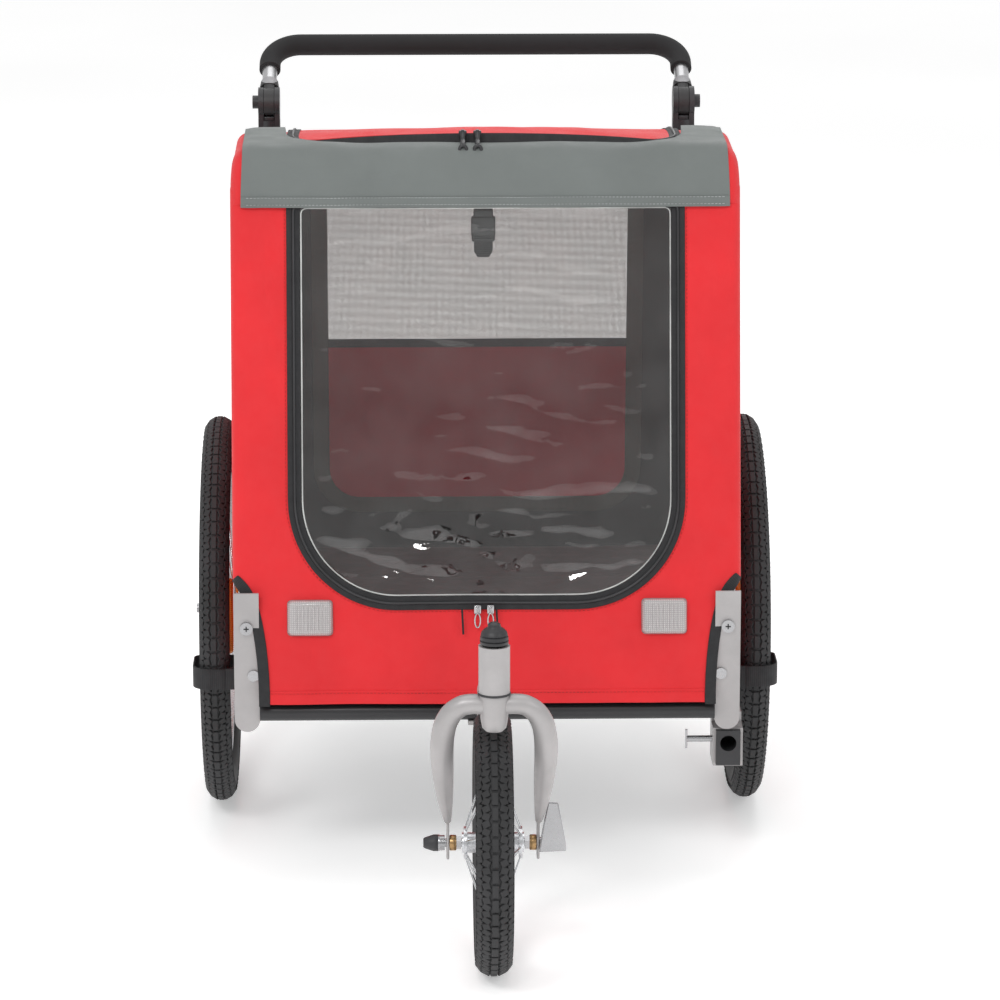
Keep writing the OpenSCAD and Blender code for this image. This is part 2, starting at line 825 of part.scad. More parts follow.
module handle_grip() {
    color(black) in_handle_plane() difference() {
        handle_u(grip_r, handle_len - handle_bend - 12);
        handle_u(handle_tube_r + 0.02, handle_len - handle_bend - 20);
    }
}

module handle_button(s) {
    color(black) translate([s * post_x, tilt_y, tilt_z]) scale([s, 1, 1])
        along_x(1.2 + 6.3, 15, button_r);
}
module handle_button_left() { handle_button(-1); }
module handle_button_right() { handle_button(1); }

floor_rails();
floor_crosses();
floor_mat();
front_brackets();
rear_brackets();
frame_bolts();
front_arm();
head_tube();
wheel_mounts();
rear_axles();
hitch_bracket();
hitch_socket();
hitch_pin();
handle_posts();
post_feet();
handle_knuckles();
handle_yokes();
handle_bar();
handle_grip();
handle_button_left();
handle_button_right();
side_tube_left();
side_tube_right();
side_panel_left();
side_panel_right();
side_skirts();
front_panel();
visor();
roof_panel();
roof_hatch();
rear_panel();
rear_door();
front_window();
roof_slider_left();
roof_slider_right();
window_slider_left();
window_slider_right();
reflectors();
tether_strap();
parking_straps();
frame_latch_left();
frame_latch_right();
swivel_cap();
fork();
front_axle();
qr_lever();
front_tyre();
front_rim();
front_spokes();
front_hub();
rear_tyre_left();
rear_rim_left();
rear_spokes_left();
rear_hub_left();
rear_tyre_right();
rear_rim_right();
rear_spokes_right();
rear_hub_right();
release_button_left();
release_button_right();
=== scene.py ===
"""The finished look of a child bicycle trailer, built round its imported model."""

import json
import logging
import math
from dataclasses import dataclass, field
from enum import Enum
from typing import Callable, Iterable, Optional, Sequence

import bpy
import numpy as np
from mathutils import Matrix, Quaternion, Vector, noise

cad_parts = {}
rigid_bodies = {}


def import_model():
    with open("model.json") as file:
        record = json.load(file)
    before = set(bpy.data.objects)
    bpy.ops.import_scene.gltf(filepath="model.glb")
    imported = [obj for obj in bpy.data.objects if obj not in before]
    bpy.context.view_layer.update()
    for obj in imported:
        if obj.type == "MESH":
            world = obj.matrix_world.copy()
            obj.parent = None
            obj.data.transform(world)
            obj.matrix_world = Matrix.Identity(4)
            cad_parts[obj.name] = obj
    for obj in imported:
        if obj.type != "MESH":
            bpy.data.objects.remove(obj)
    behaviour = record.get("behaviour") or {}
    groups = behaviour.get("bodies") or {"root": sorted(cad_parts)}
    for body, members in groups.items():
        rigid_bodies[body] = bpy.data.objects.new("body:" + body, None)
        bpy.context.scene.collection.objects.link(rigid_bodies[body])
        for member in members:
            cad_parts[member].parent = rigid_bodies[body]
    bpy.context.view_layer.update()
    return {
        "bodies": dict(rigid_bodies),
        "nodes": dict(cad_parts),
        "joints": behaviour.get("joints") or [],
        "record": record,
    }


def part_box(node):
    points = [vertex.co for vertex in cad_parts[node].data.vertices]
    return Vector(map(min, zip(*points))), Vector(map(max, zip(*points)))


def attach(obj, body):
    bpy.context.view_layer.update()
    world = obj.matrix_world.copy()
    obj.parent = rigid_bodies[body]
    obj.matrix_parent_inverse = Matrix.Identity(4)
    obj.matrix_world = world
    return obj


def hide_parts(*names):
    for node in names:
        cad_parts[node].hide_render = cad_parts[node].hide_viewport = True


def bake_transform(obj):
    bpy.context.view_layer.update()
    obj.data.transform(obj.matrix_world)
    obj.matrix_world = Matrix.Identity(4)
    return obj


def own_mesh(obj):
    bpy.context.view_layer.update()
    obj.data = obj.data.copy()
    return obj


LOG = logging.getLogger("trailer")
Array = np.ndarray
Mesh = bpy.types.Object
Socket = bpy.types.NodeSocket
Lift = Callable[[Array, Array], Array]
Spread = Callable[[Array, Array, Array], Array]
MM = 0.001


class Side(Enum):
    """The two sides of the trailer, by the sign of X."""

    LEFT = -1
    RIGHT = 1

    @property
    def word(self) -> str:
        """The side's name in node and body names."""
        return self.name.lower()

    @property
    def letter(self) -> str:
        """The side's letter in the names of small bodies."""
        return self.word[0]


# ---------------------------------------------------------------- modelling bench


class Bench:
    """The modelling tools, each of which leaves one finished mesh at the origin."""

    @staticmethod
    def clear() -> None:
        """Deselects everything, in object mode."""
        if bpy.context.object and bpy.context.object.mode != "OBJECT":
            bpy.ops.object.mode_set(mode="OBJECT")
        bpy.ops.object.select_all(action="DESELECT")

    @staticmethod
    def activate(obj: Mesh) -> Mesh:
        """Makes obj the only selected object and the active one.

        Args:
            obj: The object to work on.

        Returns:
            The same object.
        """
        Bench.clear()
        obj.select_set(True)
        bpy.context.view_layer.objects.active = obj
        return obj

    @staticmethod
    def settle(obj: Mesh, name: str) -> Mesh:
        """Names a new primitive and applies its place to its mesh.

        Args:
            obj: The primitive that was just added.
            name: The piece's name.

        Returns:
            The object, at the origin.
        """
        obj.name = obj.data.name = name
        Bench.activate(obj)
        bpy.ops.object.transform_apply(location=True, rotation=True, scale=True)
        return obj

    @staticmethod
    def modify(obj: Mesh, kind: str, **settings: object) -> Mesh:
        """Adds one modifier and applies it.

        Args:
            obj: The mesh to change.
            kind: The modifier's type.
            **settings: The modifier's properties.

        Returns:
            The same object.
        """
        Bench.activate(obj)
        modifier = obj.modifiers.new(kind.title(), kind)
        for key, value in settings.items():
            setattr(modifier, key, value)
        bpy.ops.object.modifier_apply(modifier=modifier.name)
        return obj

    @staticmethod
    def smooth(obj: Mesh, degrees: float = 35, outward: bool = True) -> Mesh:
        """Merges doubles, turns faces outwards and shades smooth below an angle.

        Args:
            obj: The mesh to finish.
            degrees: The sharpest angle that is shaded smooth.
            outward: Whether the mesh is closed, so that faces can be turned outwards.

        Returns:
            The same object.
        """
        Bench.activate(obj)
        bpy.ops.object.mode_set(mode="EDIT")
        bpy.ops.mesh.select_all(action="SELECT")
        bpy.ops.mesh.remove_doubles(threshold=1e-6)
        if outward:
            bpy.ops.mesh.normals_make_consistent(inside=False)
        bpy.ops.object.mode_set(mode="OBJECT")
        bpy.ops.object.shade_smooth_by_angle(angle=math.radians(degrees))
        return obj

    @staticmethod
    def block(name: str, size: Sequence[float], centre: Sequence[float], edge: float,
              segments: int = 3, turn: Sequence[float] = (0, 0, 0)) -> Mesh:
        """A block with rounded edges.

        Args:
            name: The piece's name.
            size: Its full size along X, Y and Z.
            centre: Its middle.
            edge: The radius of its edges.
            segments: How many faces round an edge.
            turn: Its rotation, as XYZ Euler angles.

        Returns:
            The block.
        """
        Bench.clear()
        bpy.ops.mesh.primitive_cube_add(size=1)
        obj = bpy.context.object
        obj.scale = size
        Bench.settle(obj, name)
        bpy.ops.object.mode_set(mode="EDIT")
        bpy.ops.mesh.select_all(action="SELECT")
        bpy.ops.mesh.bevel(offset=edge, segments=segments, affect="EDGES")
        bpy.ops.object.mode_set(mode="OBJECT")
        place = Matrix.Translation(centre) @ Matrix.LocRotScale(None, turned(turn), None)
        obj.data.transform(place)
        return Bench.smooth(obj, 50)

    @staticmethod
    def sheet(name: str, across: int, along: int, surface: Lift,
              weave: Callable[[Array, Array, Array], Array]) -> Mesh:
        """A grid laid on a surface, with UVs in metres.

        Args:
            name: The piece's name.
            across: Faces along u.
            along: Faces along v.
            surface: Gives the points for arrays of u and v from 0 to 1.
            weave: Gives the UVs, in metres, for u, v and the points.

        Returns:
            The open sheet.
        """
        Bench.clear()
        bpy.ops.mesh.primitive_grid_add(x_subdivisions=across, y_subdivisions=along, size=2)
        obj = bpy.context.object
        obj.name = obj.data.name = name
        mesh = obj.data
        flat = np.empty(len(mesh.vertices) * 3, np.float32)
        mesh.vertices.foreach_get("co", flat)
        u, v = (flat.reshape(-1, 3)[:, 0] + 1) / 2, (flat.reshape(-1, 3)[:, 1] + 1) / 2
        points = surface(u, v)
        mesh.vertices.foreach_set("co", points.astype(np.float32).ravel())
        corners = np.empty(len(mesh.loops), np.int32)
        mesh.loops.foreach_get("vertex_index", corners)
        uv = weave(u, v, points)[corners]
        mesh.uv_layers.active.data.foreach_set("uv", uv.astype(np.float32).ravel())
        mesh.update()
        return obj

    @staticmethod
    def thicken(obj: Mesh, thick: float, offset: float = 0.0, edge: float = 0.0) -> Mesh:
        """Gives an open sheet its thickness and a soft edge.

        Args:
            obj: The open sheet.
            thick: Its thickness.
            offset: Where the sheet lies in the thickness, from -1 to 1.
            edge: The radius of its cut edges, or 0.

        Returns:
            The same object, closed.
        """
        Bench.smooth(obj, 60, outward=False)
        Bench.modify(obj, "SOLIDIFY", thickness=thick, offset=offset)
        if edge:
            Bench.modify(obj, "BEVEL", width=edge, segments=2, limit_method="ANGLE",
                         angle_limit=math.radians(50))
        return Bench.smooth(obj, 50)

    @staticmethod
    def tube(name: str, path: Array, radius: float, closed: bool = False, sides: int = 3,
             taper: Optional[Array] = None) -> Mesh:
        """A round bar along a path.

        Args:
            name: The piece's name.
            path: The points that it follows.
            radius: Its radius.
            closed: Whether the path closes on itself.
            sides: The curve's bevel resolution.
            taper: The share of the radius at each point, or None.

        Returns:
            The bar as a mesh.
        """
        Bench.clear()
        curve = bpy.data.curves.new(name, "CURVE")
        curve.dimensions = "3D"
        curve.bevel_depth = radius
        curve.bevel_resolution = sides
        curve.use_fill_caps = not closed
        spline = curve.splines.new("POLY")
        spline.points.add(len(path) - 1)
        for point, place in zip(spline.points, path):
            point.co = (*place, 1)
        if taper is not None:
            for point, share in zip(spline.points, taper):
                point.radius = share
        spline.use_cyclic_u = closed
        obj = bpy.data.objects.new(name, curve)
        bpy.context.scene.collection.objects.link(obj)
        Bench.activate(obj)
        bpy.ops.object.convert(target="MESH")
        return Bench.smooth(bpy.context.object, 60)

    @staticmethod
    def spun(name: str, profile: Sequence[tuple[float, float]], centre: Sequence[float],
             axis: str, steps: int = 64) -> Mesh:
        """A turned part: a closed profile spun about an axis.

        Args:
            name: The piece's name.
            profile: Points as (place along the axis, radius), in order.
            centre: A point on the axis.
            axis: The axis, "X" or "Z".
            steps: How many faces round.

        Returns:
            The turned part.
        """
        Bench.clear()
        bpy.ops.mesh.primitive_circle_add(vertices=len(profile), radius=1)
        obj = bpy.context.object
        obj.name = obj.data.name = name
        for vertex, (along, radius) in zip(obj.data.vertices, profile):
            vertex.co = (along, 0, radius) if axis == "X" else (radius, 0, along)
        turn = (1, 0, 0) if axis == "X" else (0, 0, 1)
        bpy.ops.object.mode_set(mode="EDIT")
        bpy.ops.mesh.select_all(action="SELECT")
        bpy.ops.mesh.spin(steps=steps, angle=math.tau, center=(0, 0, 0), axis=turn)
        bpy.ops.mesh.select_all(action="SELECT")
        bpy.ops.mesh.remove_doubles(threshold=1e-6)
        bpy.ops.mesh.normals_make_consistent(inside=False)
        bpy.ops.object.mode_set(mode="OBJECT")
        obj.data.transform(Matrix.Translation(centre))
        return Bench.smooth(obj, 40)

    @staticmethod
    def repeat(name: str, template: Mesh, places: Iterable[Matrix]) -> Mesh:
        """Copies a template to many places and joins the copies.

        Args:
            name: The joined piece's name.
            template: The mesh to copy, which is used up.
            places: One matrix for each copy.

        Returns:
            The joined piece.
        """
        copies = []
        for place in places:
            copy = template.copy()
            copy.data = template.data.copy()
            copy.data.transform(place)
            bpy.context.scene.collection.objects.link(copy)
            copies.append(copy)
        bpy.data.objects.remove(template)
        return Bench.join(name, copies)

    @staticmethod
    def join(name: str, parts: Sequence[Mesh]) -> Mesh:
        """Joins meshes into one piece.

        Args:
            name: The piece's name.
            parts: The meshes.

        Returns:
            The joined mesh.
        """
        Bench.activate(parts[0])
        for part in parts:
            part.select_set(True)
        bpy.ops.object.join()
        obj = bpy.context.object
        obj.name = obj.data.name = name
        return obj


def turned(turn: Sequence[float]) -> Quaternion:
    """A rotation from turns about X, then Y, then Z, in radians."""
    x, y, z = (Matrix.Rotation(a, 3, k) for a, k in zip(turn, "XYZ"))
    return (z @ y @ x).to_quaternion()


def smoothstep(x: Array, low: float, high: float) -> Array:
    """0 below low, 1 above high and smooth between them."""
    t = np.clip((x - low) / (high - low), 0, 1)
    return t * t * (3 - 2 * t)


def ripple(x: Array, y: Array, pitch: float, seed: float) -> Array:
    """Smooth noise from about -1 to 1 over a plane, with features of one pitch."""
    return np.array([noise.noise(Vector((a / pitch, b / pitch, seed))) for a, b in zip(x, y)])


def softened(values: Array, width: int) -> Array:
    """A running mean, carried straight on past both ends."""
    padded = np.pad(values, width // 2, "reflect", reflect_type="odd")
    return np.convolve(padded, np.ones(width) / width, "valid")


def laid(width: float, length: float) -> Spread:
    """Where the weave falls on a cloth of a given size laid flat."""
    return lambda u, v, p: np.stack([u * width, v * length], 1)


def seen(first: int, second: int) -> Spread:
    """Where the weave falls on a cloth seen along one axis."""
    return lambda u, v, p: p[:, (first, second)]


class Outline:
    """A closed line in a wall's plane, sampled evenly, with outward normals."""

    def __init__(self, points: Array, count: int = 720) -> None:
        """Samples the line.

        Args:
            points: Its corners and arcs in order, anticlockwise.
            count: How many even samples.
        """
        ends = np.vstack([points, points[:1]])
        run = np.concatenate([[0], np.cumsum(np.linalg.norm(np.diff(ends, axis=0), axis=1))])
        self.length = float(run[-1])
        at = np.linspace(0, run[-1], count, endpoint=False)
        self.points = np.stack([np.interp(at, run, ends[:, i]) for i in (0, 1)], 1)
        step = np.roll(self.points, -2, 0) - np.roll(self.points, 2, 0)
        step /= np.linalg.norm(step, axis=1)[:, None]
        self.normals = np.stack([step[:, 1], -step[:, 0]], 1)

    def at(self, share: Array, out: Array | float = 0.0) -> Array:
        """Points at shares of the length, moved outwards by a distance."""
        place = np.mod(share, 1) * len(self.points)
        low = np.floor(place).astype(int) % len(self.points)
        high, part = (low + 1) % len(self.points), (place % 1)[:, None]
        spot = self.points[low] * (1 - part) + self.points[high] * part
        side = self.normals[low] * (1 - part) + self.normals[high] * part
        return spot + side * np.broadcast_to(out, share.shape)[:, None]

    def reach(self, angle: Array, centre: Sequence[float]) -> Array:
        """The distance from a centre to the line, in given directions."""
        away = self.points - np.array(centre)
        angles = np.arctan2(away[:, 1], away[:, 0])
        order = np.argsort(angles)
        return np.interp(angle, angles[order], np.linalg.norm(away, axis=1)[order],
                         period=math.tau)


def rounded_outline(half: float, low: float, high: float, r_low: float, r_high: float) -> Outline:
    """A rectangle with its own corner radii below and above.

    Args:
        half: Half of its width.
        low: Its lower edge.
        high: Its upper edge.
        r_low: The radius of the lower corners.
        r_high: The radius of the upper corners.

    Returns:
        The outline.
    """
    corners = [(half - r_low, low + r_low, r_low, -90), (half - r_high, high - r_high, r_high, 0),
               (-half + r_high, high - r_high, r_high, 90), (-half + r_low, low + r_low, r_low, 180)]
    points = [(x + r * math.cos(math.radians(start + step)),
               z + r * math.sin(math.radians(start + step)))
              for x, z, r, start in corners for step in range(0, 91, 5)]
    return Outline(np.array(points))


def panel(name: str, outer: Outline, inner: Optional[Outline], centre: Sequence[float],
          count: int, rings: int, lift: Lift) -> Mesh:
    """A flat pattern between two outlines, or inside one, laid on a surface.

    Args:
        name: The piece's name.
        outer: The outline of its outer edge.
        inner: The outline of its hole, or None.
        centre: A point that every part of both outlines can be seen from.
        count: Faces round it.
        rings: Faces from hole to edge.
        lift: Gives the points in space for two arrays of plane coordinates.

    Returns:
        The open sheet.
    """
    spots: dict[str, Array] = {}

    def surface(u: Array, v: Array) -> Array:
        """Points on the pattern, for a share of a turn and a share of the way out."""
        angle = u * math.tau - math.pi / 2
        far = outer.reach(angle, centre)
        near = inner.reach(angle, centre) if inner else np.full_like(far, 1e-7)
        r = near + (far - near) * v
        x, y = centre[0] + r * np.cos(angle), centre[1] + r * np.sin(angle)
        spots["xy"] = np.stack([x, y], 1)
        return lift(x, y)

    return Bench.sheet(name, count, rings, surface, lambda u, v, p: spots["xy"])


def strip(name: str, line: Lift, width: float, length: float,
          steps: int, lift: Lift, across: int = 3) -> Mesh:
    """A tape that follows a line on a surface.

    Args:
        name: The piece's name.
        line: Gives plane points for shares of the length and places across, in metres.
        width: The tape's width.
        length: Its length, for the weave.
        steps: Faces along it.
        lift: Gives the points in space for two arrays of plane coordinates.
        across: Faces across it.

    Returns:
        The open sheet.
    """

    def surface(u: Array, v: Array) -> Array:
        """Points on the tape."""
        spots = line(u, (v - 0.5) * width)
        return lift(spots[:, 0], spots[:, 1])

    return Bench.sheet(name, steps, across, surface, laid(length, width))


def stitches(name: str, path: Callable[[Array], Array], out: Sequence[float], length: float,
             pitch: float = 4.5 * MM) -> Mesh:
    """A row of thread stitches along a path.

    Args:
        name: The row's name.
        path: Gives points in space for shares of its length.
        out: The direction off the cloth.
        length: The row's length.
        pitch: The distance from stitch to stitch.

    Returns:
        The row as one mesh.
    """
    Bench.clear()
    bpy.ops.mesh.primitive_cylinder_add(vertices=6, radius=0.42 * MM, depth=0.62 * pitch)
    template = Bench.settle(bpy.context.object, name)
    bpy.ops.object.mode_set(mode="EDIT")
    bpy.ops.mesh.select_all(action="SELECT")
    bpy.ops.mesh.bevel(offset=0.15 * MM, segments=1, affect="EDGES")
    bpy.ops.object.mode_set(mode="OBJECT")
    count = max(2, int(length / pitch))
    share = (np.arange(count) + 0.5) / count
    here, ahead = path(share), path(share + 0.2 / count)
    places = []
    for a, b in zip(here, ahead):
        turn = Vector(b - a).to_track_quat("Z", "X").to_matrix().to_4x4()
        places.append(Matrix.Translation(Vector(a) + Vector(out) * 0.35 * MM) @ turn)
    return Bench.smooth(Bench.repeat(name, template, places), 60)


# ---------------------------------------------------------------- finishes


class Paint:
    """One material's node tree, with short ways to add nodes to it."""

    def __init__(self, name: str) -> None:
        """Starts a material with a Principled shader and an output."""
        self.material = bpy.data.materials.new(name)
        self.material.use_nodes = True
        self.tree = self.material.node_tree
        self.tree.nodes.clear()
        self.output = self.tree.nodes.new("ShaderNodeOutputMaterial")
        self.shader = self.add("ShaderNodeBsdfPrincipled")
        self.link(self.shader.outputs[0], self.output.inputs[0])
        self.coordinates = self.add("ShaderNodeTexCoord")

    def add(self, kind: str, **values: object) -> bpy.types.Node:
        """Adds a node and sets its properties, or its sockets by name.

        Args:
            kind: The node's type.
            **values: Properties, or socket names with underscores for spaces.

        Returns:
            The node.
        """
        node = self.tree.nodes.new(kind)
        for key, value in values.items():
            if hasattr(node, key) and key not in node.inputs:
                setattr(node, key, value)
            else:
                node.inputs[key.replace("_", " ")].default_value = value
        return node

    def link(self, out: Socket, into: Socket) -> None:
        """Joins two sockets."""
        self.tree.links.new(out, into)

    def set(self, **values: object) -> "Paint":
        """Sets the shader's own sockets, by name with underscores for spaces."""
        for key, value in values.items():
            self.shader.inputs[key.replace("_", " ")].default_value = value
        return self

    def place(self, scale: Sequence[float], woven: bool = False) -> Socket:
        """Object or UV coordinates times a scale."""
        mapping = self.add("ShaderNodeMapping")
        mapping.inputs["Scale"].default_value = scale
        source = self.coordinates.outputs["UV" if woven else "Object"]
        self.link(source, mapping.inputs["Vector"])
        return mapping.outputs[0]

    def noise(self, scale: float, detail: float = 3, stretch: Sequence[float] = (1, 1, 1),
              woven: bool = False) -> Socket:
        """Noise with features of 1/scale metres."""
        node = self.add("ShaderNodeTexNoise", Scale=scale, Detail=detail)
        self.link(self.place(stretch, woven), node.inputs["Vector"])
        return node.outputs["Fac"]

    def ramp(self, value: Socket, low: Sequence[float], high: Sequence[float],
             start: float = 0.35, end: float = 0.65) -> Socket:
        """A colour that goes from low to high as a value does.

        Args:
            value: The socket that chooses the colour.
            low: The colour at the start.
            high: The colour at the end.
            start: The value where the change begins.
            end: The value where it ends.

        Returns:
            The colour's socket.
        """
        node = self.add("ShaderNodeValToRGB")
        node.color_ramp.elements[0].position = start
        node.color_ramp.elements[0].color = (*low, 1)
        node.color_ramp.elements[1].position = end
        node.color_ramp.elements[1].color = (*high, 1)
        self.link(value, node.inputs[0])
        return node.outputs[0]

    def span(self, value: Socket, low: float, high: float) -> Socket:
        """A value from 0.3 to 0.7 mapped to a range.

        Args:
            value: The socket to map.
            low: What 0.3 becomes.
            high: What 0.7 becomes.

        Returns:
            The mapped socket.
        """
        node = self.add("ShaderNodeMapRange")
        for key, number in zip(("From Min", "From Max", "To Min", "To Max"), (0.3, 0.7, low, high)):
            node.inputs[key].default_value = number
        self.link(value, node.inputs[0])
        return node.outputs[0]

    def math(self, kind: str, a: object, b: object = 0.0) -> Socket:
        """A math node on two sockets or numbers."""
        node = self.add("ShaderNodeMath", operation=kind)
        for socket, value in zip(node.inputs, (a, b)):
            if isinstance(value, (int, float)):
                socket.default_value = value
            else:
                self.link(value, socket)
        return node.outputs[0]

    def threads(self, pitch: float, axis: str, woven: bool = True) -> Socket:
        """A wave from 0 to 1 across one axis, with threads a pitch apart."""
        split = self.add("ShaderNodeSeparateXYZ")
        self.link(self.place((1, 1, 1), woven), split.inputs[0])
        angle = self.math("MULTIPLY", split.outputs[axis], math.tau / pitch)
        return self.math("MULTIPLY_ADD", self.math("SINE", angle), 0.5)

    def bump(self, height: Socket, depth: float, strength: float = 1.0) -> None:
        """Adds a bump to the shader, on top of any bump it has."""
        node = self.add("ShaderNodeBump", Strength=strength, Distance=depth)
        self.link(height, node.inputs["Height"])
        socket = self.shader.inputs["Normal"]
        if socket.is_linked:
            self.link(socket.links[0].from_socket, node.inputs["Normal"])
        self.link(node.outputs[0], socket)


@dataclass(frozen=True)
class Finish:
    """A finish with one main colour. dress() makes its material once."""

    name: str
    colour: tuple[float, float, float] = (0.5, 0.5, 0.5)
    slot: str = ""

    def dress(self) -> bpy.types.Material:
        """The finish's material, made on first use."""
        found = bpy.data.materials.get(self.name)
        if found is None:
            paint = Paint(self.name)
            self.mix(paint)
            found = paint.material
            found.diffuse_color = (*self.colour, 1)
        return found

    def tint(self, factor: float) -> tuple[float, ...]:
        """The main colour, brighter or darker."""
        return tuple(min(1.0, c * factor) for c in self.colour)

    def mix(self, paint: Paint) -> None:
        """Fills the node tree."""
        raise NotImplementedError


@dataclass(frozen=True)
class WovenCloth(Finish):
    """Coated polyester: a plain weave, faint mottling and soft creases."""

    pitch: float = 0.9 * MM
    rough: float = 0.72
    sheen: float = 0.15

    def mix(self, paint: Paint) -> None:
        """Weave and creases by bump, mottling by colour."""
        cloud = paint.noise(9, 4)
        paint.link(paint.ramp(cloud, self.tint(0.95), self.tint(1.04)),
                   paint.shader.inputs["Base Color"])
        paint.link(paint.span(paint.noise(60, 2), self.rough - 0.06, self.rough + 0.06),
                   paint.shader.inputs["Roughness"])
        paint.set(Sheen_Weight=self.sheen, Sheen_Roughness=0.45, Specular_IOR_Level=0.32)
        weave = paint.math("MULTIPLY", paint.threads(self.pitch, "X"), paint.threads(self.pitch, "Y"))
        paint.bump(paint.noise(9, 2, (1, 1, 0.45)), 0.03, 0.5)
        paint.bump(paint.noise(26, 3), 0.004, 0.25)
        paint.bump(weave, 0.0003, 0.55)


@dataclass(frozen=True)
class MeshCloth(Finish):
    """Open mesh: threads with clear holes between them."""

    pitch: float = 1.6 * MM
    cover: float = 0.45

    def mix(self, paint: Paint) -> None:
        """Mixes the thread shader with holes by a grid."""
        hole = paint.add("ShaderNodeBsdfTransparent")
        mixer = paint.add("ShaderNodeMixShader")
        rows = paint.math("GREATER_THAN", paint.threads(self.pitch, "Y"), 1 - self.cover)
        columns = paint.math("GREATER_THAN", paint.threads(self.pitch, "X"), 1 - self.cover * 0.6)
        paint.link(paint.math("MAXIMUM", rows, columns), mixer.inputs[0])
        paint.link(hole.outputs[0], mixer.inputs[1])
        paint.link(paint.shader.outputs[0], mixer.inputs[2])
        paint.link(mixer.outputs[0], paint.output.inputs[0])
        paint.link(paint.ramp(paint.noise(14, 3), self.tint(0.88), self.tint(1.1)),
                   paint.shader.inputs["Base Color"])
        paint.set(Roughness=0.8)


@dataclass(frozen=True)
class ClearVinyl(Finish):
    """Soft clear sheet: see-through, glossy at a slant, a little hazy."""

    haze: float = 0.05

    def mix(self, paint: Paint) -> None:
        """Mixes a tinted clear shader with gloss that grows with the slant."""
        clear = paint.add("ShaderNodeBsdfTransparent", Color=(*self.colour, 1))
        gloss = paint.add("ShaderNodeBsdfGlossy", Roughness=0.045)
        mixer = paint.add("ShaderNodeMixShader")
        shine = paint.add("ShaderNodeLayerWeight", Blend=0.5)
        slant = paint.math("MULTIPLY", paint.math("POWER", shine.outputs["Facing"], 4.0), 0.7)
        smear = paint.span(paint.noise(18, 4), 0.04 + self.haze * 0.4, 0.04 + self.haze * 1.6)
        paint.link(paint.math("ADD", slant, smear), mixer.inputs[0])
        paint.link(clear.outputs[0], mixer.inputs[1])
        paint.link(gloss.outputs[0], mixer.inputs[2])
        bump = paint.add("ShaderNodeBump", Strength=0.35, Distance=0.003)
        paint.link(paint.noise(30, 2), bump.inputs["Height"])
        paint.link(bump.outputs[0], gloss.inputs["Normal"])
        paint.link(bump.outputs[0], shine.inputs["Normal"])
        paint.link(mixer.outputs[0], paint.output.inputs[0])
        paint.tree.nodes.remove(paint.shader)


@dataclass(frozen=True)
class Metal(Finish):
    """Painted, plated or drawn metal, with fine marks along one axis."""

    rough: float = 0.35
    metallic: float = 1.0
    grain: tuple[float, float, float] = (1, 1, 1)
    coat: float = 0.0
    depth: float = 0.00004

    def mix(self, paint: Paint) -> None:
        """Grain by bump and roughness, slight clouding by colour."""
        marks = paint.noise(900, 3, self.grain)
        paint.link(paint.ramp(paint.noise(22, 4), self.tint(0.92), self.tint(1.05)),
                   paint.shader.inputs["Base Color"])
        paint.link(paint.span(marks, self.rough * 0.8, self.rough * 1.2),
                   paint.shader.inputs["Roughness"])
        paint.set(Metallic=self.metallic, Coat_Weight=self.coat, Coat_Roughness=0.2)
        paint.bump(marks, self.depth, 0.4)


@dataclass(frozen=True)
class Moulded(Finish):
    """Moulded plastic, foam or rubber: a fine grain and a little dust."""

    rough: float = 0.5
    grain: float = 900
    depth: float = 0.0003
    dust: float = 1.5
    dark_below: float = 0.0

    def mix(self, paint: Paint) -> None:
        """Grain by bump, dust by colour and roughness, and a dark part below a height."""
        cloud = paint.noise(16, 5)
        colour = paint.ramp(cloud, self.tint(0.85), self.tint(self.dust))
        if self.dark_below:
            split = paint.add("ShaderNodeSeparateXYZ")
            paint.link(paint.place((1, 1, 1)), split.inputs[0])
            mixer = paint.add("ShaderNodeMix", data_type="RGBA")
            mixer.inputs[6].default_value = (*self.tint(0.08), 1)
            paint.link(paint.math("GREATER_THAN", split.outputs["Z"], self.dark_below), mixer.inputs[0])
            paint.link(colour, mixer.inputs[7])
            colour = mixer.outputs[2]
        paint.link(colour, paint.shader.inputs["Base Color"])
        paint.link(paint.span(cloud, self.rough - 0.07, self.rough + 0.08),
                   paint.shader.inputs["Roughness"])
        paint.bump(paint.noise(self.grain, 2), self.depth, 0.6)


@dataclass(frozen=True)
class Tape(Finish):
    """Woven tape: ribs across it, as on webbing, binding and zip tape."""

    pitch: float = 1.6 * MM
    rough: float = 0.66

    def mix(self, paint: Paint) -> None:
        """Ribs by bump and colour."""
        ribs = paint.math("MULTIPLY", paint.threads(self.pitch, "X"),
                          paint.threads(self.pitch * 0.6, "Y"))
        paint.link(paint.ramp(ribs, self.tint(0.7), self.tint(1.5), 0.1, 0.9),
                   paint.shader.inputs["Base Color"])
        paint.link(paint.span(paint.noise(90, 2), self.rough - 0.05, self.rough + 0.08),
                   paint.shader.inputs["Roughness"])
        paint.bump(ribs, 0.0004, 0.8)


@dataclass(frozen=True)
class Lens(Finish):
    """Clear or amber lens plastic over small prisms."""

    clear: float = 0.3

    def mix(self, paint: Paint) -> None:
        """Prisms by two sets of bump waves."""
        across, up = (paint.threads(2.6 * MM, axis, False) for axis in "XZ")
        cells = paint.math("MULTIPLY", across, up)
        paint.link(paint.ramp(cells, self.tint(0.72), self.tint(1.12), 0.0, 0.8),
                   paint.shader.inputs["Base Color"])
        paint.link(paint.span(paint.noise(40, 2), 0.08, 0.2), paint.shader.inputs["Roughness"])
        paint.set(Transmission_Weight=self.clear, IOR=1.49, Coat_Weight=0.5, Coat_Roughness=0.05)
        paint.bump(cells, 0.0008, 0.7)


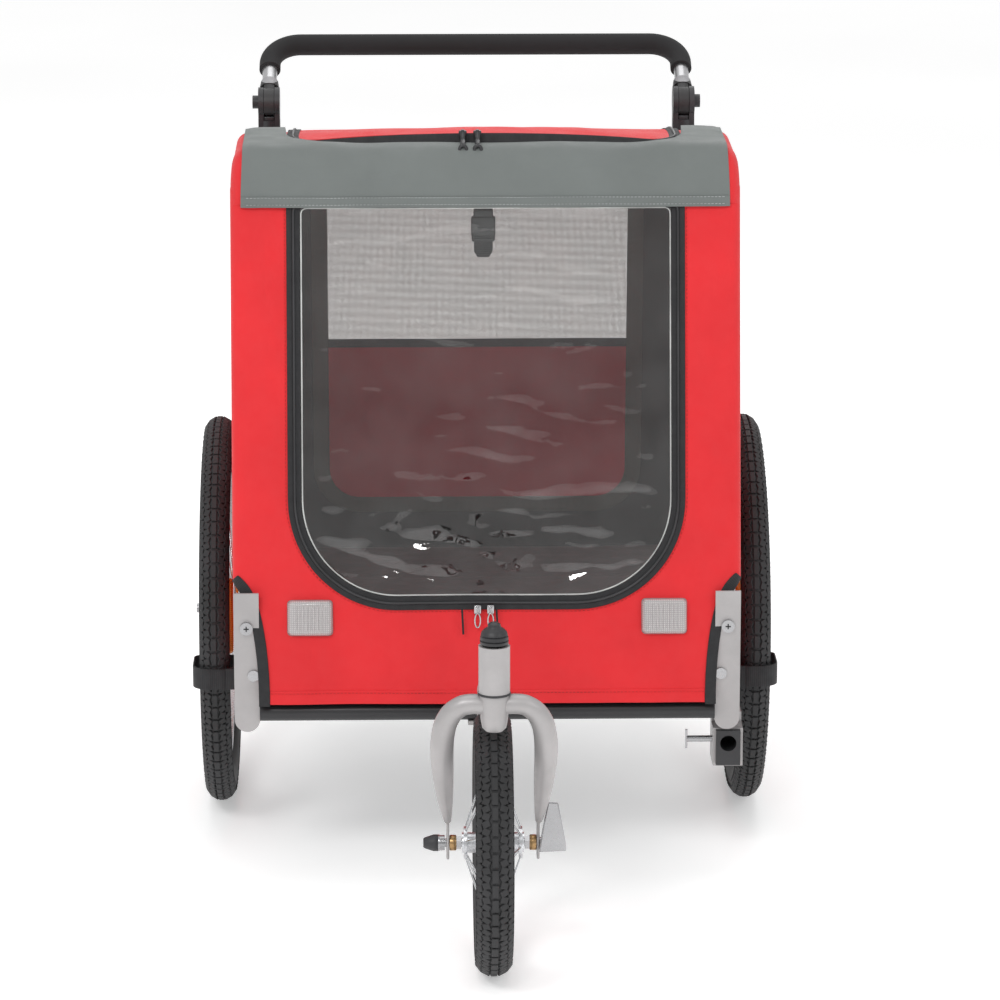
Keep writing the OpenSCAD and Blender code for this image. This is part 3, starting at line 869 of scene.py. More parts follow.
RED = WovenCloth("cloth_red", (0.74, 0.024, 0.03), "red_fabric")
# Painted light: the door's inside face is the red cloth again in a duller red that paints the shade it
# sits in, set brighter to make up for the little light inside the cabin.
RED_PAINTED_INSIDE = WovenCloth("cloth_red_lining", (0.6, 0.06, 0.085), "red_fabric", sheen=0.05)
SLATE = WovenCloth("cloth_slate", (0.165, 0.182, 0.176), "slate_fabric")
DARK = WovenCloth("cloth_charcoal", (0.075, 0.08, 0.082), "slate_fabric", sheen=0.05)
MAT = WovenCloth("mat_grey", (0.12, 0.125, 0.13), "grey_mat", pitch=2.2 * MM)
NET = MeshCloth("net_grey", (0.46, 0.42, 0.38), "mesh_fabric")
VINYL = ClearVinyl("vinyl_clear", (0.965, 0.968, 0.962), "clear_vinyl", haze=0.02)
BINDING = Tape("tape_black", (0.017, 0.017, 0.019), "zip_black")
EDGING = Tape("tape_grey_green", (0.15, 0.165, 0.145), "webbing")
WEBBING = Tape("webbing_black", (0.018, 0.018, 0.02), "webbing", pitch=2.4 * MM)
BEAD = Moulded("bead_grey", (0.40, 0.41, 0.40), "clear_vinyl", rough=0.4)
SILVER = Metal("paint_silver", (0.42, 0.405, 0.405), "silver_steel", rough=0.46, metallic=0.4, coat=0.15)
BLACK_STEEL = Metal("paint_black", (0.02, 0.02, 0.022), "black_steel", rough=0.42, metallic=0.2,
                    coat=0.2)
TUBE = Metal("alloy_tube", (0.6, 0.6, 0.61), "brushed_tube", rough=0.33, grain=(1, 1, 0.06))
ZINC = Metal("zinc_plate", (0.4, 0.4, 0.41), "zinc", rough=0.27)
CHROME = Metal("chrome_plate", (0.5, 0.5, 0.51), "chrome_metal", rough=0.16)
BRONZE = Metal("bronze_nut", (0.42, 0.27, 0.13), "zinc", rough=0.35)
SPOKE = Metal("spoke_wire", (0.55, 0.56, 0.57), "spoke_steel", rough=0.22)
ALLOY = Metal("rim_alloy_turned", (0.66, 0.67, 0.69), "rim_alloy", rough=0.3, grain=(0.3, 1, 1))
PLASTIC = Moulded("plastic_black", (0.022, 0.022, 0.024), "black_plastic", rough=0.42)
YOKE = Moulded("plastic_yoke", (0.33, 0.33, 0.34), "black_plastic", rough=0.45, dust=1.1,
               dark_below=0.874)
GREY_PLASTIC = Moulded("plastic_grey", (0.22, 0.225, 0.23), "black_plastic", rough=0.45,
                       dust=1.15)
FOAM = Moulded("foam_black", (0.014, 0.014, 0.015), "foam", rough=0.86, grain=1500, depth=0.0006)
RUBBER = Moulded("tyre_rubber_black", (0.016, 0.016, 0.017), "tyre_rubber", rough=0.68, grain=700,
                 dust=2.0)
LENS = Lens("lens_clear", (0.74, 0.7, 0.7), "clear_lens")
AMBER = Lens("lens_amber", (0.85, 0.24, 0.02), "clear_lens", clear=0.15)
THREAD_GREY = Moulded("thread_grey", (0.3, 0.31, 0.31), "slate_fabric", rough=0.7)
THREAD_RED = Moulded("thread_red", (0.42, 0.012, 0.014), "red_fabric", rough=0.7)


# ---------------------------------------------------------------- fitting


@dataclass
class Fitter:
    """Puts finished pieces on their bodies and keeps the count."""

    fold_joint: str = "frame_fold_left"
    fold_floor: tuple[float, float, float] = (0.0, 0.0, 0.235)
    fold_keep: float = 0.17
    made: list[str] = field(default_factory=list)

    def fit(self, obj: Mesh, body: str, finish: Finish, stands_for: Sequence[str] = (),
            folds: bool = False) -> Mesh:
        """Dresses a piece and rides it on a body.

        Args:
            obj: The finished mesh.
            body: The CAD body that it moves with.
            finish: Its finish.
            stands_for: The CAD nodes that it replaces.
            folds: Whether it gets a mesh of its own.

        Returns:
            The same object.
        """
        if not obj.data.materials:
            obj.data.materials.append(finish.dress())
        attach(obj, body)
        if stands_for:
            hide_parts(*stands_for)
        if folds:
            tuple(self.fold_floor)
            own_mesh(obj)
        self.made.append(obj.name)
        LOG.info("%s on %s in %s", obj.name, body, finish.name)
        return obj

    def sheet(self, obj: Mesh, body: str, finish: Finish, thick: float, held: str,
              rests_on: Sequence[str], stands_for: Sequence[str] = (), folds: bool = True,
              edge: float = 0.0) -> Mesh:
        """Thickens an open sheet and fits it; the size of its flat cut is worked out but not used.

        Args:
            obj: The open sheet.
            body: The CAD body that it moves with.
            finish: Its cloth.
            thick: The cloth's thickness.
            held: How it is held; not used.
            rests_on: What holds it; not used.
            stands_for: The CAD nodes that it replaces.
            folds: Whether it gets a mesh of its own.
            edge: The radius of its cut edges.

        Returns:
            The same object.
        """
        area = sum(face.area for face in obj.data.polygons)
        uv = np.empty(len(obj.data.loops) * 2, np.float32)
        obj.data.uv_layers.active.data.foreach_get("uv", uv)
        size = np.ptp(uv.reshape(-1, 2), axis=0)
        size = size * max(1.0, math.sqrt(area / (size[0] * size[1])))
        Bench.thicken(obj, thick, 0, edge)
        self.fit(obj, body, finish, stands_for, folds)
        return obj


@dataclass
class Cabin:
    """The lines of the cabin. Distances d run back from the rear axle."""

    axle_y: float
    half: float = 0.311
    low: float = 0.228
    hem: float = 0.2292
    front_low: float = -0.380
    front_high: float = -0.250
    front_top: float = 0.884
    rear_low: float = 0.390
    rear_high: float = 0.332
    rear_top: float = 0.8066
    roof_zero: float = 0.875
    roof_slope: float = 0.206
    roof_curve: float = 0.68
    crown: float = 0.004
    wrap: float = 0.012
    roof_edge: float = 0.018
    roof_wrap: float = 0.014
    cut_top: float = 0.378
    cut_low_x: float = 0.2785

    def front_y(self, z: Array) -> Array:
        """Y of the front face at a height."""
        rake = (self.front_high - self.front_low) / (self.front_top - self.low)
        return self.axle_y + self.front_low + (z - self.low) * rake

    def rear_y(self, z: Array) -> Array:
        """Y of the rear face at a height."""
        rake = (self.rear_low - self.rear_high) / (self.rear_top - self.low)
        return self.axle_y + self.rear_low - (z - self.low) * rake

    def roof(self, x: Array, d: Array) -> Array:
        """Height of the roof, with its crown across."""
        fall = self.roof_curve * np.minimum(d, 0) ** 2
        rise = self.crown * np.clip(1 - (x / 0.3) ** 2, -0.3, 1)
        return self.roof_zero - self.roof_slope * d - fall + rise

    def turn(self, x: Array) -> tuple[Array, Array]:
        """Wraps a place across round the cabin's upright edge.

        Args:
            x: Places across the flat pattern.

        Returns:
            The place across in space, and how far back the wrap takes it.
        """
        start = self.half - self.wrap
        angle = np.clip((np.abs(x) - start) / self.wrap, 0, math.pi / 2)
        across = np.where(np.abs(x) > start, start + self.wrap * np.sin(angle), np.abs(x))
        return np.sign(x) * across, self.wrap * (1 - np.cos(angle))

    def front(self, proud: float = 0.0, wrinkle: float = 1.0) -> Lift:
        """A lift onto the front face, proud of it by a distance.

        Args:
            proud: How far outside the face the points stand.
            wrinkle: The share of the usual waves.

        Returns:
            A map from places on the face to points.
        """

        def lift(x: Array, z: Array) -> Array:
            """Points on the front face."""
            across, inward = self.turn(x)
            soft = smoothstep(0.305 - np.abs(x), 0, 0.05) * wrinkle
            wave = 2.8 * MM * ripple(x + 0.45 * z, z * 0.45, 0.10, 3.1) * soft
            wave += 0.8 * MM * ripple(x - 0.8 * z, z * 0.7, 0.045, 7.7) * soft
            y = self.front_y(z) + inward - proud - np.minimum(wave, 1.6 * MM)
            return np.stack([across, y, z], 1)

        return lift

    def rear(self, proud: float = 0.0, wrinkle: float = 1.0) -> Lift:
        """A lift onto the rear face, proud of it by a distance.

        Args:
            proud: How far outside the face the points stand.
            wrinkle: The share of the usual waves.

        Returns:
            A map from places on the face to points.
        """

        def lift(x: Array, z: Array) -> Array:
            """Points on the rear face."""
            across, inward = self.turn(x)
            wave = 1.5 * MM * ripple(x - 0.3 * z, z * 0.5, 0.08, 5.3) * wrinkle
            y = self.rear_y(z) - inward + proud - np.minimum(wave, 1.2 * MM)
            return np.stack([across, y, z], 1)

        return lift

    def over(self, proud: float = 0.0, wrinkle: float = 1.0) -> Lift:
        """A lift onto the roof: x across and d back from the rear axle.

        Args:
            proud: How far above the roof the points stand.
            wrinkle: The share of the usual waves.

        Returns:
            A map from places on the roof to points.
        """

        def lift(x: Array, d: Array) -> Array:
            """Points on the roof."""
            start = self.half - self.roof_edge
            angle = np.clip((np.abs(x) - start) / self.roof_wrap, 0, math.pi / 2)
            across = np.where(np.abs(x) > start, start + self.roof_wrap * np.sin(angle), np.abs(x))
            wave = 1.4 * MM * ripple(x + 0.2 * d, d * 0.6, 0.08, 1.7) * wrinkle
            z = self.roof(x, d) + proud + wave - self.roof_wrap * (1 - np.cos(angle))
            return np.stack([np.sign(x) * across, self.axle_y + d, z], 1)

        return lift

    def cut(self, share: Array, out: Array, side: int, low: float) -> Array:
        """The curved edge that the end walls leave for the brackets.

        Args:
            share: Shares of the way from the side edge down to the hem.
            out: Distances off the edge, outwards.
            side: The sign of X.
            low: The height at its lower end.

        Returns:
            Plane points.
        """
        z = self.cut_top - (self.cut_top - low) * share
        x = self.cut_x(z)
        slope = (self.cut_x(z + 1e-4) - self.cut_x(z - 1e-4)) / 2e-4
        norm = np.sqrt(1 + slope * slope)
        return np.stack([side * (x + out / norm), z - out * slope / norm], 1)

    def cut_x(self, z: Array) -> Array:
        """Distance of the curved edge from the centre line at a height."""
        rise = np.clip((z - self.low) / (self.cut_top - self.low), 0, 1)
        return self.cut_low_x + 0.0215 * rise ** 2.2 + (self.half - 0.0175 - self.cut_low_x) * rise ** 12

    def wall(self, top: float) -> Outline:
        """The flat outline of an end wall, with both corner cuts."""
        share = np.linspace(1, 0, 40)
        right = self.cut(share, np.zeros(40), 1, self.hem)
        left = self.cut(share[::-1], np.zeros(40), -1, self.hem)
        edge = self.half + 0.0065
        upper = np.array([(edge, self.cut_top + 0.004), (edge, top), (-edge, top),
                          (-edge, self.cut_top + 0.004)])
        return Outline(np.vstack([right, upper, left]), 1400)


# ---------------------------------------------------------------- sub-assemblies


@dataclass
class Studio:
    """Camera, floor and soft light."""

    axle_y: float
    distance: float = 5.794
    height: float = 1.816
    tilt: float = 76.2
    swing: float = 1.0
    aim: float = 1.23
    lens: float = 165.5

    def build(self) -> None:
        """Makes the camera, the floor, the soft lights and a pale world."""
        camera = bpy.data.cameras.new("camera")
        camera.lens, camera.sensor_width, camera.dof.use_dof = self.lens, 36, False
        obj = bpy.data.objects.new("camera", camera)
        bpy.context.scene.collection.objects.link(obj)
        swing = math.radians(self.swing)
        obj.location = (-self.distance * math.sin(swing),
                        self.axle_y - self.distance * math.cos(swing), self.height)
        obj.rotation_euler = (math.radians(self.tilt), 0, -math.radians(self.aim))
        bpy.context.scene.camera = obj
        bpy.context.scene.view_settings.view_transform = "Standard"
        self.floor()
        self.light("key", (-1.9, -3.1, 3.4), 1.1, 44)
        self.light("glint", (-0.5, -3.6, 3.3), 0.55, 16)
        self.light("fill", (2.6, -2.4, 2.6), 1.4, 14)
        self.light("top", (0.0, 0.6, 3.6), 2.6, 24)
        self.light("back", (0.4, 3.4, 2.4), 2.0, 22)
        world = bpy.data.worlds.new("world")
        world.use_nodes = True
        world.node_tree.nodes["Background"].inputs[0].default_value = (1, 1, 1, 1)
        world.node_tree.nodes["Background"].inputs[1].default_value = 0.66
        bpy.context.scene.world = world

    def floor(self) -> None:
        """A wide pale floor."""
        Bench.clear()
        bpy.ops.mesh.primitive_plane_add(size=60, location=(0, 0, 0))
        floor = Bench.settle(bpy.context.object, "floor")
        paint = Paint("floor_pale")
        paint.link(paint.ramp(paint.noise(0.7, 2), (0.93, 0.93, 0.93), (0.97, 0.97, 0.97)),
                   paint.shader.inputs["Base Color"])
        paint.set(Roughness=0.9, Emission_Color=(1, 1, 1, 1), Emission_Strength=0.34)
        floor.data.materials.append(paint.material)

    @staticmethod
    def light(name: str, place: Sequence[float], size: float, power: float) -> None:
        """One soft square light, aimed at the cabin."""
        data = bpy.data.lights.new(name, "AREA")
        data.size, data.energy = size, power
        obj = bpy.data.objects.new(name, data)
        bpy.context.scene.collection.objects.link(obj)
        obj.location = place
        aim = Vector((0, 0.1, 0.5)) - Vector(place)
        obj.rotation_euler = aim.to_track_quat("-Z", "Y").to_euler()


@dataclass
class FrontWall:
    """The red front wall with its window edge, corner binding and hem."""

    cabin: Cabin
    fitter: Fitter
    top: float = 0.848
    window_half: float = 0.2365
    window_low: float = 0.3495
    window_high: float = 0.838
    corner: float = 0.126
    binding: float = 0.0135

    def build(self) -> None:
        """Makes the wall and everything sewn to it."""
        window = rounded_outline(self.window_half, self.window_low, self.window_high,
                                 self.corner, 0.012)
        outer = self.cabin.wall(self.top)
        wall = panel("front_wall", outer, window, (0, 0.585), 560, 30, self.cabin.front())
        self.fitter.sheet(wall, "chassis", RED, 1.6 * MM, "stretched", ["front_brackets"],
                          ["front_panel"])
        self.bind_corners()
        self.sew_hem()
        self.edge_window(window)

    def bind_corners(self) -> None:
        """Black binding round the two corner cuts."""
        for side in Side:
            line = self.corner_line(side.value)
            tape = strip(f"front_binding_{side.word}", line, self.binding, 0.16, 40,
                         self.cabin.front(1.7 * MM))
            self.fitter.fit(Bench.thicken(tape, 2.2 * MM, 0, 0.7 * MM), "chassis", BINDING, folds=True)

    def corner_line(self, side: int) -> Lift:
        """The line of one corner binding."""
        return lambda share, out: self.cabin.cut(share, out - self.binding / 2 + 1.5 * MM, side,
                                                 self.cabin.hem - 0.002)

    def sew_hem(self) -> None:
        """The folded hem along the bottom edge, with its stitches."""
        reach, low = self.cabin.cut_low_x - 0.012, self.cabin.hem

        def line(share: Array, out: Array) -> Array:
            """Plane points along the hem."""
            x = (share - 0.5) * 2 * reach
            return np.stack([x, low + 0.0085 + out], 1)

        hem = strip("front_hem", line, 0.016, 2 * reach, 120, self.cabin.front(1.1 * MM))
        self.fitter.fit(Bench.thicken(hem, 1.4 * MM, 0, 0.5 * MM), "chassis", RED, folds=True)
        lift = self.cabin.front(2.0 * MM)
        row = stitches("front_hem_stitches",
                       lambda s: lift((s - 0.5) * 2 * reach, np.full_like(s, low + 0.0135)),
                       (0, -1, 0), 2 * reach)
        self.fitter.fit(row, "chassis", THREAD_RED, folds=True)

    def edge_window(self, window: Outline) -> None:
        """The zip's outer half and a stitch row round the window."""
        tape = strip("window_zip_outer", lambda s, out: window.at(s, out + 3.2 * MM), 7.2 * MM,
                     window.length, 420, self.cabin.front(1.6 * MM), 2)
        self.fitter.fit(Bench.thicken(tape, 1.8 * MM, 0, 0.5 * MM), "chassis", BINDING, folds=True)
        lift = self.cabin.front(1.0 * MM)

        def path(share: Array) -> Array:
            """Stitches just outside the zip."""
            spots = window.at(share, 9 * MM)
            return lift(spots[:, 0], spots[:, 1])

        row = stitches("window_edge_stitches", path, (0, -1, 0), window.length, 5 * MM)
        self.fitter.fit(row, "chassis", THREAD_RED, folds=True)


@dataclass
class FrontWindow:
    """The clear window flap: vinyl, its bound zip edge and a piped bead."""

    cabin: Cabin
    fitter: Fitter
    half: float = 0.2345
    low: float = 0.3515
    high: float = 0.832
    corner: float = 0.124
    binding: float = 0.0078

    def build(self) -> None:
        """Makes the vinyl and its edge."""
        edge = rounded_outline(self.half, self.low, self.high, self.corner, 0.011)
        inner = rounded_outline(self.half - self.binding, self.low + self.binding,
                                self.high - 0.006, self.corner - self.binding, 0.008)
        sheet = rounded_outline(self.half - 0.006, self.low + 0.006, self.high - 0.002,
                                self.corner - 0.006, 0.01)
        vinyl = panel("window_vinyl", sheet, None, (0, 0.585), 300, 90, self.crinkle)
        self.fitter.sheet(vinyl, "window_flap", VINYL, 0.6 * MM, "stretched", ["front_panel"],
                          ["front_window"])
        tape = strip("window_binding", lambda s, out: edge.at(s, out - self.binding / 2),
                     self.binding, edge.length, 420, self.cabin.front(1.4 * MM), 6)
        self.fitter.fit(Bench.thicken(tape, 1.6 * MM, 0, 0.4 * MM), "window_flap", BINDING, folds=True)
        lift = self.cabin.front(3.0 * MM)
        line = edge.at(np.linspace(0, 1, 420, endpoint=False), 0.2 * MM)
        coil = Bench.tube("window_zip_coil", lift(line[:, 0], line[:, 1]), 1.5 * MM, True)
        self.fitter.fit(coil, "window_flap", PLASTIC, folds=True)
        line = inner.at(np.linspace(0, 1, 420, endpoint=False), -1.4 * MM)
        lift = self.cabin.front(1.6 * MM)
        bead = Bench.tube("window_bead", lift(line[:, 0], line[:, 1]), 0.9 * MM, True)
        self.fitter.fit(bead, "window_flap", BEAD, folds=True)

    def crinkle(self, x: Array, z: Array) -> Array:
        """Points on the vinyl, with the creases of a rolled sheet.

        Args:
            x: Places across.
            z: Heights.

        Returns:
            The points.
        """
        flat = self.cabin.front(0.2 * MM, 0.0)(x, z)
        edge = smoothstep(self.half - 0.012 - np.abs(x), 0, 0.03)
        edge *= smoothstep(z - self.low - 0.012, 0, 0.03) * smoothstep(self.high - z, 0, 0.02)
        bottom = smoothstep(-z, -0.50, -0.37)
        ridges = 1 - np.abs(ripple(x * 0.55 + 0.25 * z, z * 1.6, 0.055, 2.2)) * 2
        fine = ripple(x * 0.8 - 0.3 * z, z * 1.9, 0.026, 9.4)
        wide = ripple(x, z * 0.8, 0.17, 4.5)
        wave = (1.8 + 3.2 * bottom) * MM * ridges + (0.5 + 1.3 * bottom) * MM * fine + 3.0 * MM * wide
        flat[:, 1] += wave * edge
        return flat


@dataclass
class Visor:
    """The slate visor that folds over the front edge of the roof, and the red brow under it."""

    cabin: Cabin
    fitter: Fitter
    hem_z: float = 0.826
    back: float = -0.209
    ends_back: float = -0.105
    zip_half: float = 0.19
    zip_corner: float = 0.054
    hem_half: float = 0.2985
    top_half: float = 0.2965
    brow_roll: float = 0.015
    flat: tuple[float, float] = (0.60, 0.13)
    brow_flat: tuple[float, float] = (0.66, 0.20)
    stitch_rows: tuple[float, ...] = (0.035, 0.118)

    def knots(self) -> Array:
        """The visor's line, as distances back and heights, from hem to rear."""
        face = self.cabin.front_y(np.array([self.hem_z, 0.866])) - self.cabin.axle_y
        rear = self.ends_back
        return np.array([(face[0] - 0.0045, self.hem_z), (face[1] - 0.0035, 0.866), (-0.2475, 0.884),
                         (-0.238, 0.8915), (-0.224, 0.8945), (self.back, 0.8940),
                         (rear, float(self.cabin.roof_zero - self.cabin.roof_slope * rear) - 0.0015)])

    def profile(self, run: Array) -> tuple[Array, Array]:
        """Distance back and height for a distance along the visor's line."""
        knots = self.knots()
        ends = np.concatenate([[0], np.cumsum(np.linalg.norm(np.diff(knots, axis=0), axis=1))])
        steps = np.linspace(0, ends[-1], 120)
        lines = [softened(np.interp(steps, ends, knots[:, i]), 11) for i in (0, 1)]
        return tuple(np.interp(run, steps, line) for line in lines)

    def reach(self, x: Array) -> Array:
        """How far along its line the visor runs at a place across, round the zip."""
        past = np.clip(np.abs(x) - self.zip_half, 0, self.zip_corner)
        back = self.back + self.zip_corner - np.sqrt(self.zip_corner**2 - past**2)
        back = np.where(np.abs(x) > self.zip_half + self.zip_corner, self.ends_back, back)
        steps = np.linspace(0, 0.24, 400)
        return np.interp(np.minimum(back, self.ends_back), self.profile(steps)[0], steps)

    def surface(self, proud: float, share: float = 1.0) -> Lift:
        """The visor's surface for shares across and up the first part of it.

        Args:
            proud: How far outside the visor's own line the points stand.
            share: The part of the way up that the surface takes; 1 also rounds the zip.

        Returns:
            A map from shares to points.
        """

        def at(u: Array, v: Array) -> Array:
            """Points on the visor."""
            shared = float(self.reach(np.zeros(1))[0]) - 1 * MM
            run = shared * np.minimum(v / 0.7, 1) if share == 1.0 else shared * share * v
            half = self.hem_half + (self.top_half - self.hem_half) * smoothstep(run, 0, 0.08)
            x = (u - 0.5) * 2 * half
            if share == 1.0:
                run = run + (self.reach(x) - shared) * np.clip((v - 0.7) / 0.3, 0, 1)
            d, z = self.profile(run)
            up = smoothstep(d, -0.252, -0.236)
            crown = 0.45 * self.cabin.crown * (1 - (x / 0.3) ** 2) * up
            crown = crown + 3 * MM * smoothstep(np.abs(x), 0.15, 0.25) * up
            wave = 3.0 * MM * ripple(x + 1.1 * z, z * 1.2 + d, 0.05, 6.6)
            wave *= smoothstep(0.5 - np.abs(u - 0.5), 0, 0.06)
            wave += 1.5 * MM * ripple(x - 0.5 * z, d, 0.11, 8.1)
            side = 1.6 * MM * smoothstep(np.abs(u - 0.5), 0.48, 0.5)
            y = self.cabin.axle_y + d - (proud + wave) * (1 - up) + side * (1 - up)
            return np.stack([x, y, z + crown + (proud + 0.5 * wave) * up - side * up], 1)

        return at

    def brow(self, u: Array, v: Array) -> Array:
        """Points on the red cloth that rounds the corner beside the visor.

        Args:
            u: Shares across.
            v: Shares along the visor's line.

        Returns:
            The points.
        """
        run = 0.004 + 0.196 * v
        d, z = self.profile(run)
        ahead_d, ahead_z = self.profile(run + 1 * MM)
        slope = np.hypot(ahead_d - d, ahead_z - z)
        back, down = (ahead_z - z) / slope, -(ahead_d - d) / slope
        half = self.cabin.half - 0.0040 * smoothstep(run, 0.02, 0.11)
        turn = np.clip((np.abs(u - 0.5) - 0.42) / 0.08, 0, 1) * 1.35
        flat = (half - self.brow_roll) * np.clip(np.abs(u - 0.5) / 0.42, 0, 1)
        x = np.sign(u - 0.5) * (flat + self.brow_roll * np.sin(turn))
        sink = 2.0 * MM + self.brow_roll * (1 - np.cos(turn))
        sink = sink + 12 * MM * (1 - smoothstep(np.abs(u - 0.5), 0.38, 0.415))
        return np.stack([x, self.cabin.axle_y + d + back * sink, z + down * sink], 1)

    def seam(self, height: float) -> Callable[[Array], Array]:
        """The path of a row of stitches, at a share of the way up the visor."""
        return lambda s: self.surface(2.3 * MM, height)(0.01 + 0.98 * s, np.ones_like(s))

    def build(self) -> None:
        """Makes the visor, its folded hem, its stitches and the brow."""
        visor = Bench.sheet("visor_cloth", 180, 44, self.surface(0.0), laid(*self.flat))
        self.fitter.sheet(visor, "chassis", SLATE, 1.8 * MM, "stretched", ["front_panel", "roof_panel"],
                          ["visor"], edge=0.5 * MM)
        brow = Bench.sheet("front_brow", 120, 60, self.brow, laid(*self.brow_flat))
        self.fitter.sheet(brow, "chassis", RED, 1.2 * MM, "stretched", ["front_panel", "roof_panel"])
        fold = Bench.sheet("visor_hem", 150, 5, self.surface(1.3 * MM, 0.13), laid(*self.flat))
        self.fitter.fit(Bench.thicken(fold, 1.5 * MM, 0, 0.5 * MM), "chassis", SLATE, folds=True)
        for index, height in enumerate(self.stitch_rows):
            row = stitches(f"visor_stitches_{index}", self.seam(height), (0, -1, 0), 0.59)
            self.fitter.fit(row, "chassis", THREAD_GREY, folds=True)


@dataclass
class Roof:
    """The red roof, its zipped hatch and the two sliders."""

    cabin: Cabin
    fitter: Fitter
    half: float = 0.235
    front: float = -0.195
    rear: float = 0.280
    corner: float = 0.045
    swell: float = 0.0105
    slider_shift: float = 11 * MM

    def build(self) -> None:
        """Makes the roof, the hatch and the zip."""
        hatch = rounded_outline(self.half, self.front, self.rear, self.corner, 0.02)
        hole = rounded_outline(self.half + 2 * MM, self.front - 2 * MM, self.rear + 2 * MM,
                               self.corner, 0.02)
        edge = self.cabin.half + 0.003
        outer = rounded_outline(edge, self.cabin.front_high + 0.036, self.cabin.rear_high - 0.002,
                                0.004, 0.004)
        roof = panel("roof_cloth", outer, hole, (0, 0.04), 420, 14, self.cabin.over(-1.2 * MM))
        self.fitter.sheet(roof, "chassis", RED, 1.6 * MM, "stretched",
                          ["side_tube_left", "side_tube_right"], ["roof_panel"])
        cloth = panel("hatch_cloth", hatch, None, (0, 0.04), 300, 60, self.bulge)
        self.fitter.sheet(cloth, "hatch_flap", RED, 1.6 * MM, "stretched", ["roof_panel"],
                          ["roof_hatch"])
        self.zip(hatch)
        self.standing_zip()
        for side in Side:
            self.slider(side)

    def rise(self, x: Array) -> Array:
        """How far the zip at the front stands up at a place across."""
        return self.swell * np.maximum(1 - (x / (self.half - 2 * MM)) ** 2, 0) ** 0.7

    def bulge(self, x: Array, d: Array) -> Array:
        """Points on the hatch, which swells behind the standing zip."""
        points = self.cabin.over(0.6 * MM, 1.5)(x, d)
        ahead = smoothstep(-d, 0.07, 0.17)
        lift = self.rise(x) * (0.02 + 0.98 * ahead) * (1 + 0.05 * np.exp(-((d + 0.15) / 0.03) ** 2))
        points[:, 2] += lift * smoothstep(self.rear - d, 0, 0.06)
        return points

    def standing_zip(self) -> None:
        """The zip tape that stands up along the front of the hatch."""
        reach = self.half - 8 * MM

        def surface(u: Array, v: Array) -> Array:
            """Points on the tape."""
            x = (u - 0.5) * 2 * reach
            d = self.front - 7 * MM + 7 * MM * v + 0.02 * np.maximum(np.abs(x) / reach - 0.9, 0)
            z = self.cabin.roof(x, d) + 0.5 * MM + (self.rise(x) + 1.2 * MM) * v
            return np.stack([x, self.cabin.axle_y + d, z], 1)

        tape = Bench.sheet("hatch_zip_front", 160, 4, surface,
                           laid(2 * reach, 12 * MM))
        self.fitter.fit(Bench.thicken(tape, 1.6 * MM, 0, 0.4 * MM), "chassis", BINDING, folds=True)

    def zip(self, hatch: Outline) -> None:
        """The zip along the front and sides of the hatch."""
        tape = strip("hatch_zip_tape", lambda s, out: hatch.at(s, out + 2 * MM), 15 * MM,
                     hatch.length, 400, self.cabin.over(1.9 * MM), 4)
        self.fitter.fit(Bench.thicken(tape, 1.4 * MM, 0, 0.4 * MM), "chassis", BINDING, folds=True)
        line = hatch.at(np.linspace(0, 1, 400, endpoint=False), 2 * MM)
        lift = self.cabin.over(3.1 * MM)
        coil = Bench.tube("hatch_zip_coil", lift(line[:, 0], line[:, 1]), 1.6 * MM, True)
        self.fitter.fit(coil, "chassis", PLASTIC, folds=True)

    def slider(self, side: Side) -> None:
        """One black slider with its long pull and ring end."""
        low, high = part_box(f"roof_slider_{side.word}")
        x, y = (low.x + high.x) / 2 - self.slider_shift, high.y - 6 * MM
        d = y - self.cabin.axle_y
        z = float(self.cabin.roof(np.array([x]), np.array([d]))[0]) + 5 * MM
        z += self.swell * 0.8
        body = Bench.block("body", (10 * MM, 9 * MM, 8 * MM), (x, y, z), 2 * MM)
        bridge = Bench.block("bridge", (4 * MM, 7 * MM, 3 * MM), (x, y - 3 * MM, z + 4 * MM), 0.8 * MM)
        visor = Visor(self.cabin, self.fitter)
        runs = np.linspace(0.1, 0.077, 12)
        back, height = visor.profile(runs)
        lie = np.stack([np.full(12, x), self.cabin.axle_y + back - 2 * MM, height + 5 * MM], 1)
        lie[0] = (x, y - 4 * MM, z + 2 * MM)
        pull = Bench.tube("pull", lie, 3.2 * MM)
        end = lie[-1]
        loop = [(end[0] + 4.2 * MM * math.cos(a), end[1] - 3 * MM,
                 end[2] - 4 * MM + 4.6 * MM * math.sin(a))
                for a in np.linspace(0, math.tau, 24, endpoint=False)]
        ring = Bench.tube("ring", np.array(loop), 2.1 * MM, True)
        obj = Bench.join(f"roof_zip_slider_{side.word}", [body, bridge, pull, ring])
        self.fitter.fit(obj, f"roof_slider_{side.letter}", PLASTIC, [f"roof_slider_{side.word}"],
                        folds=True)


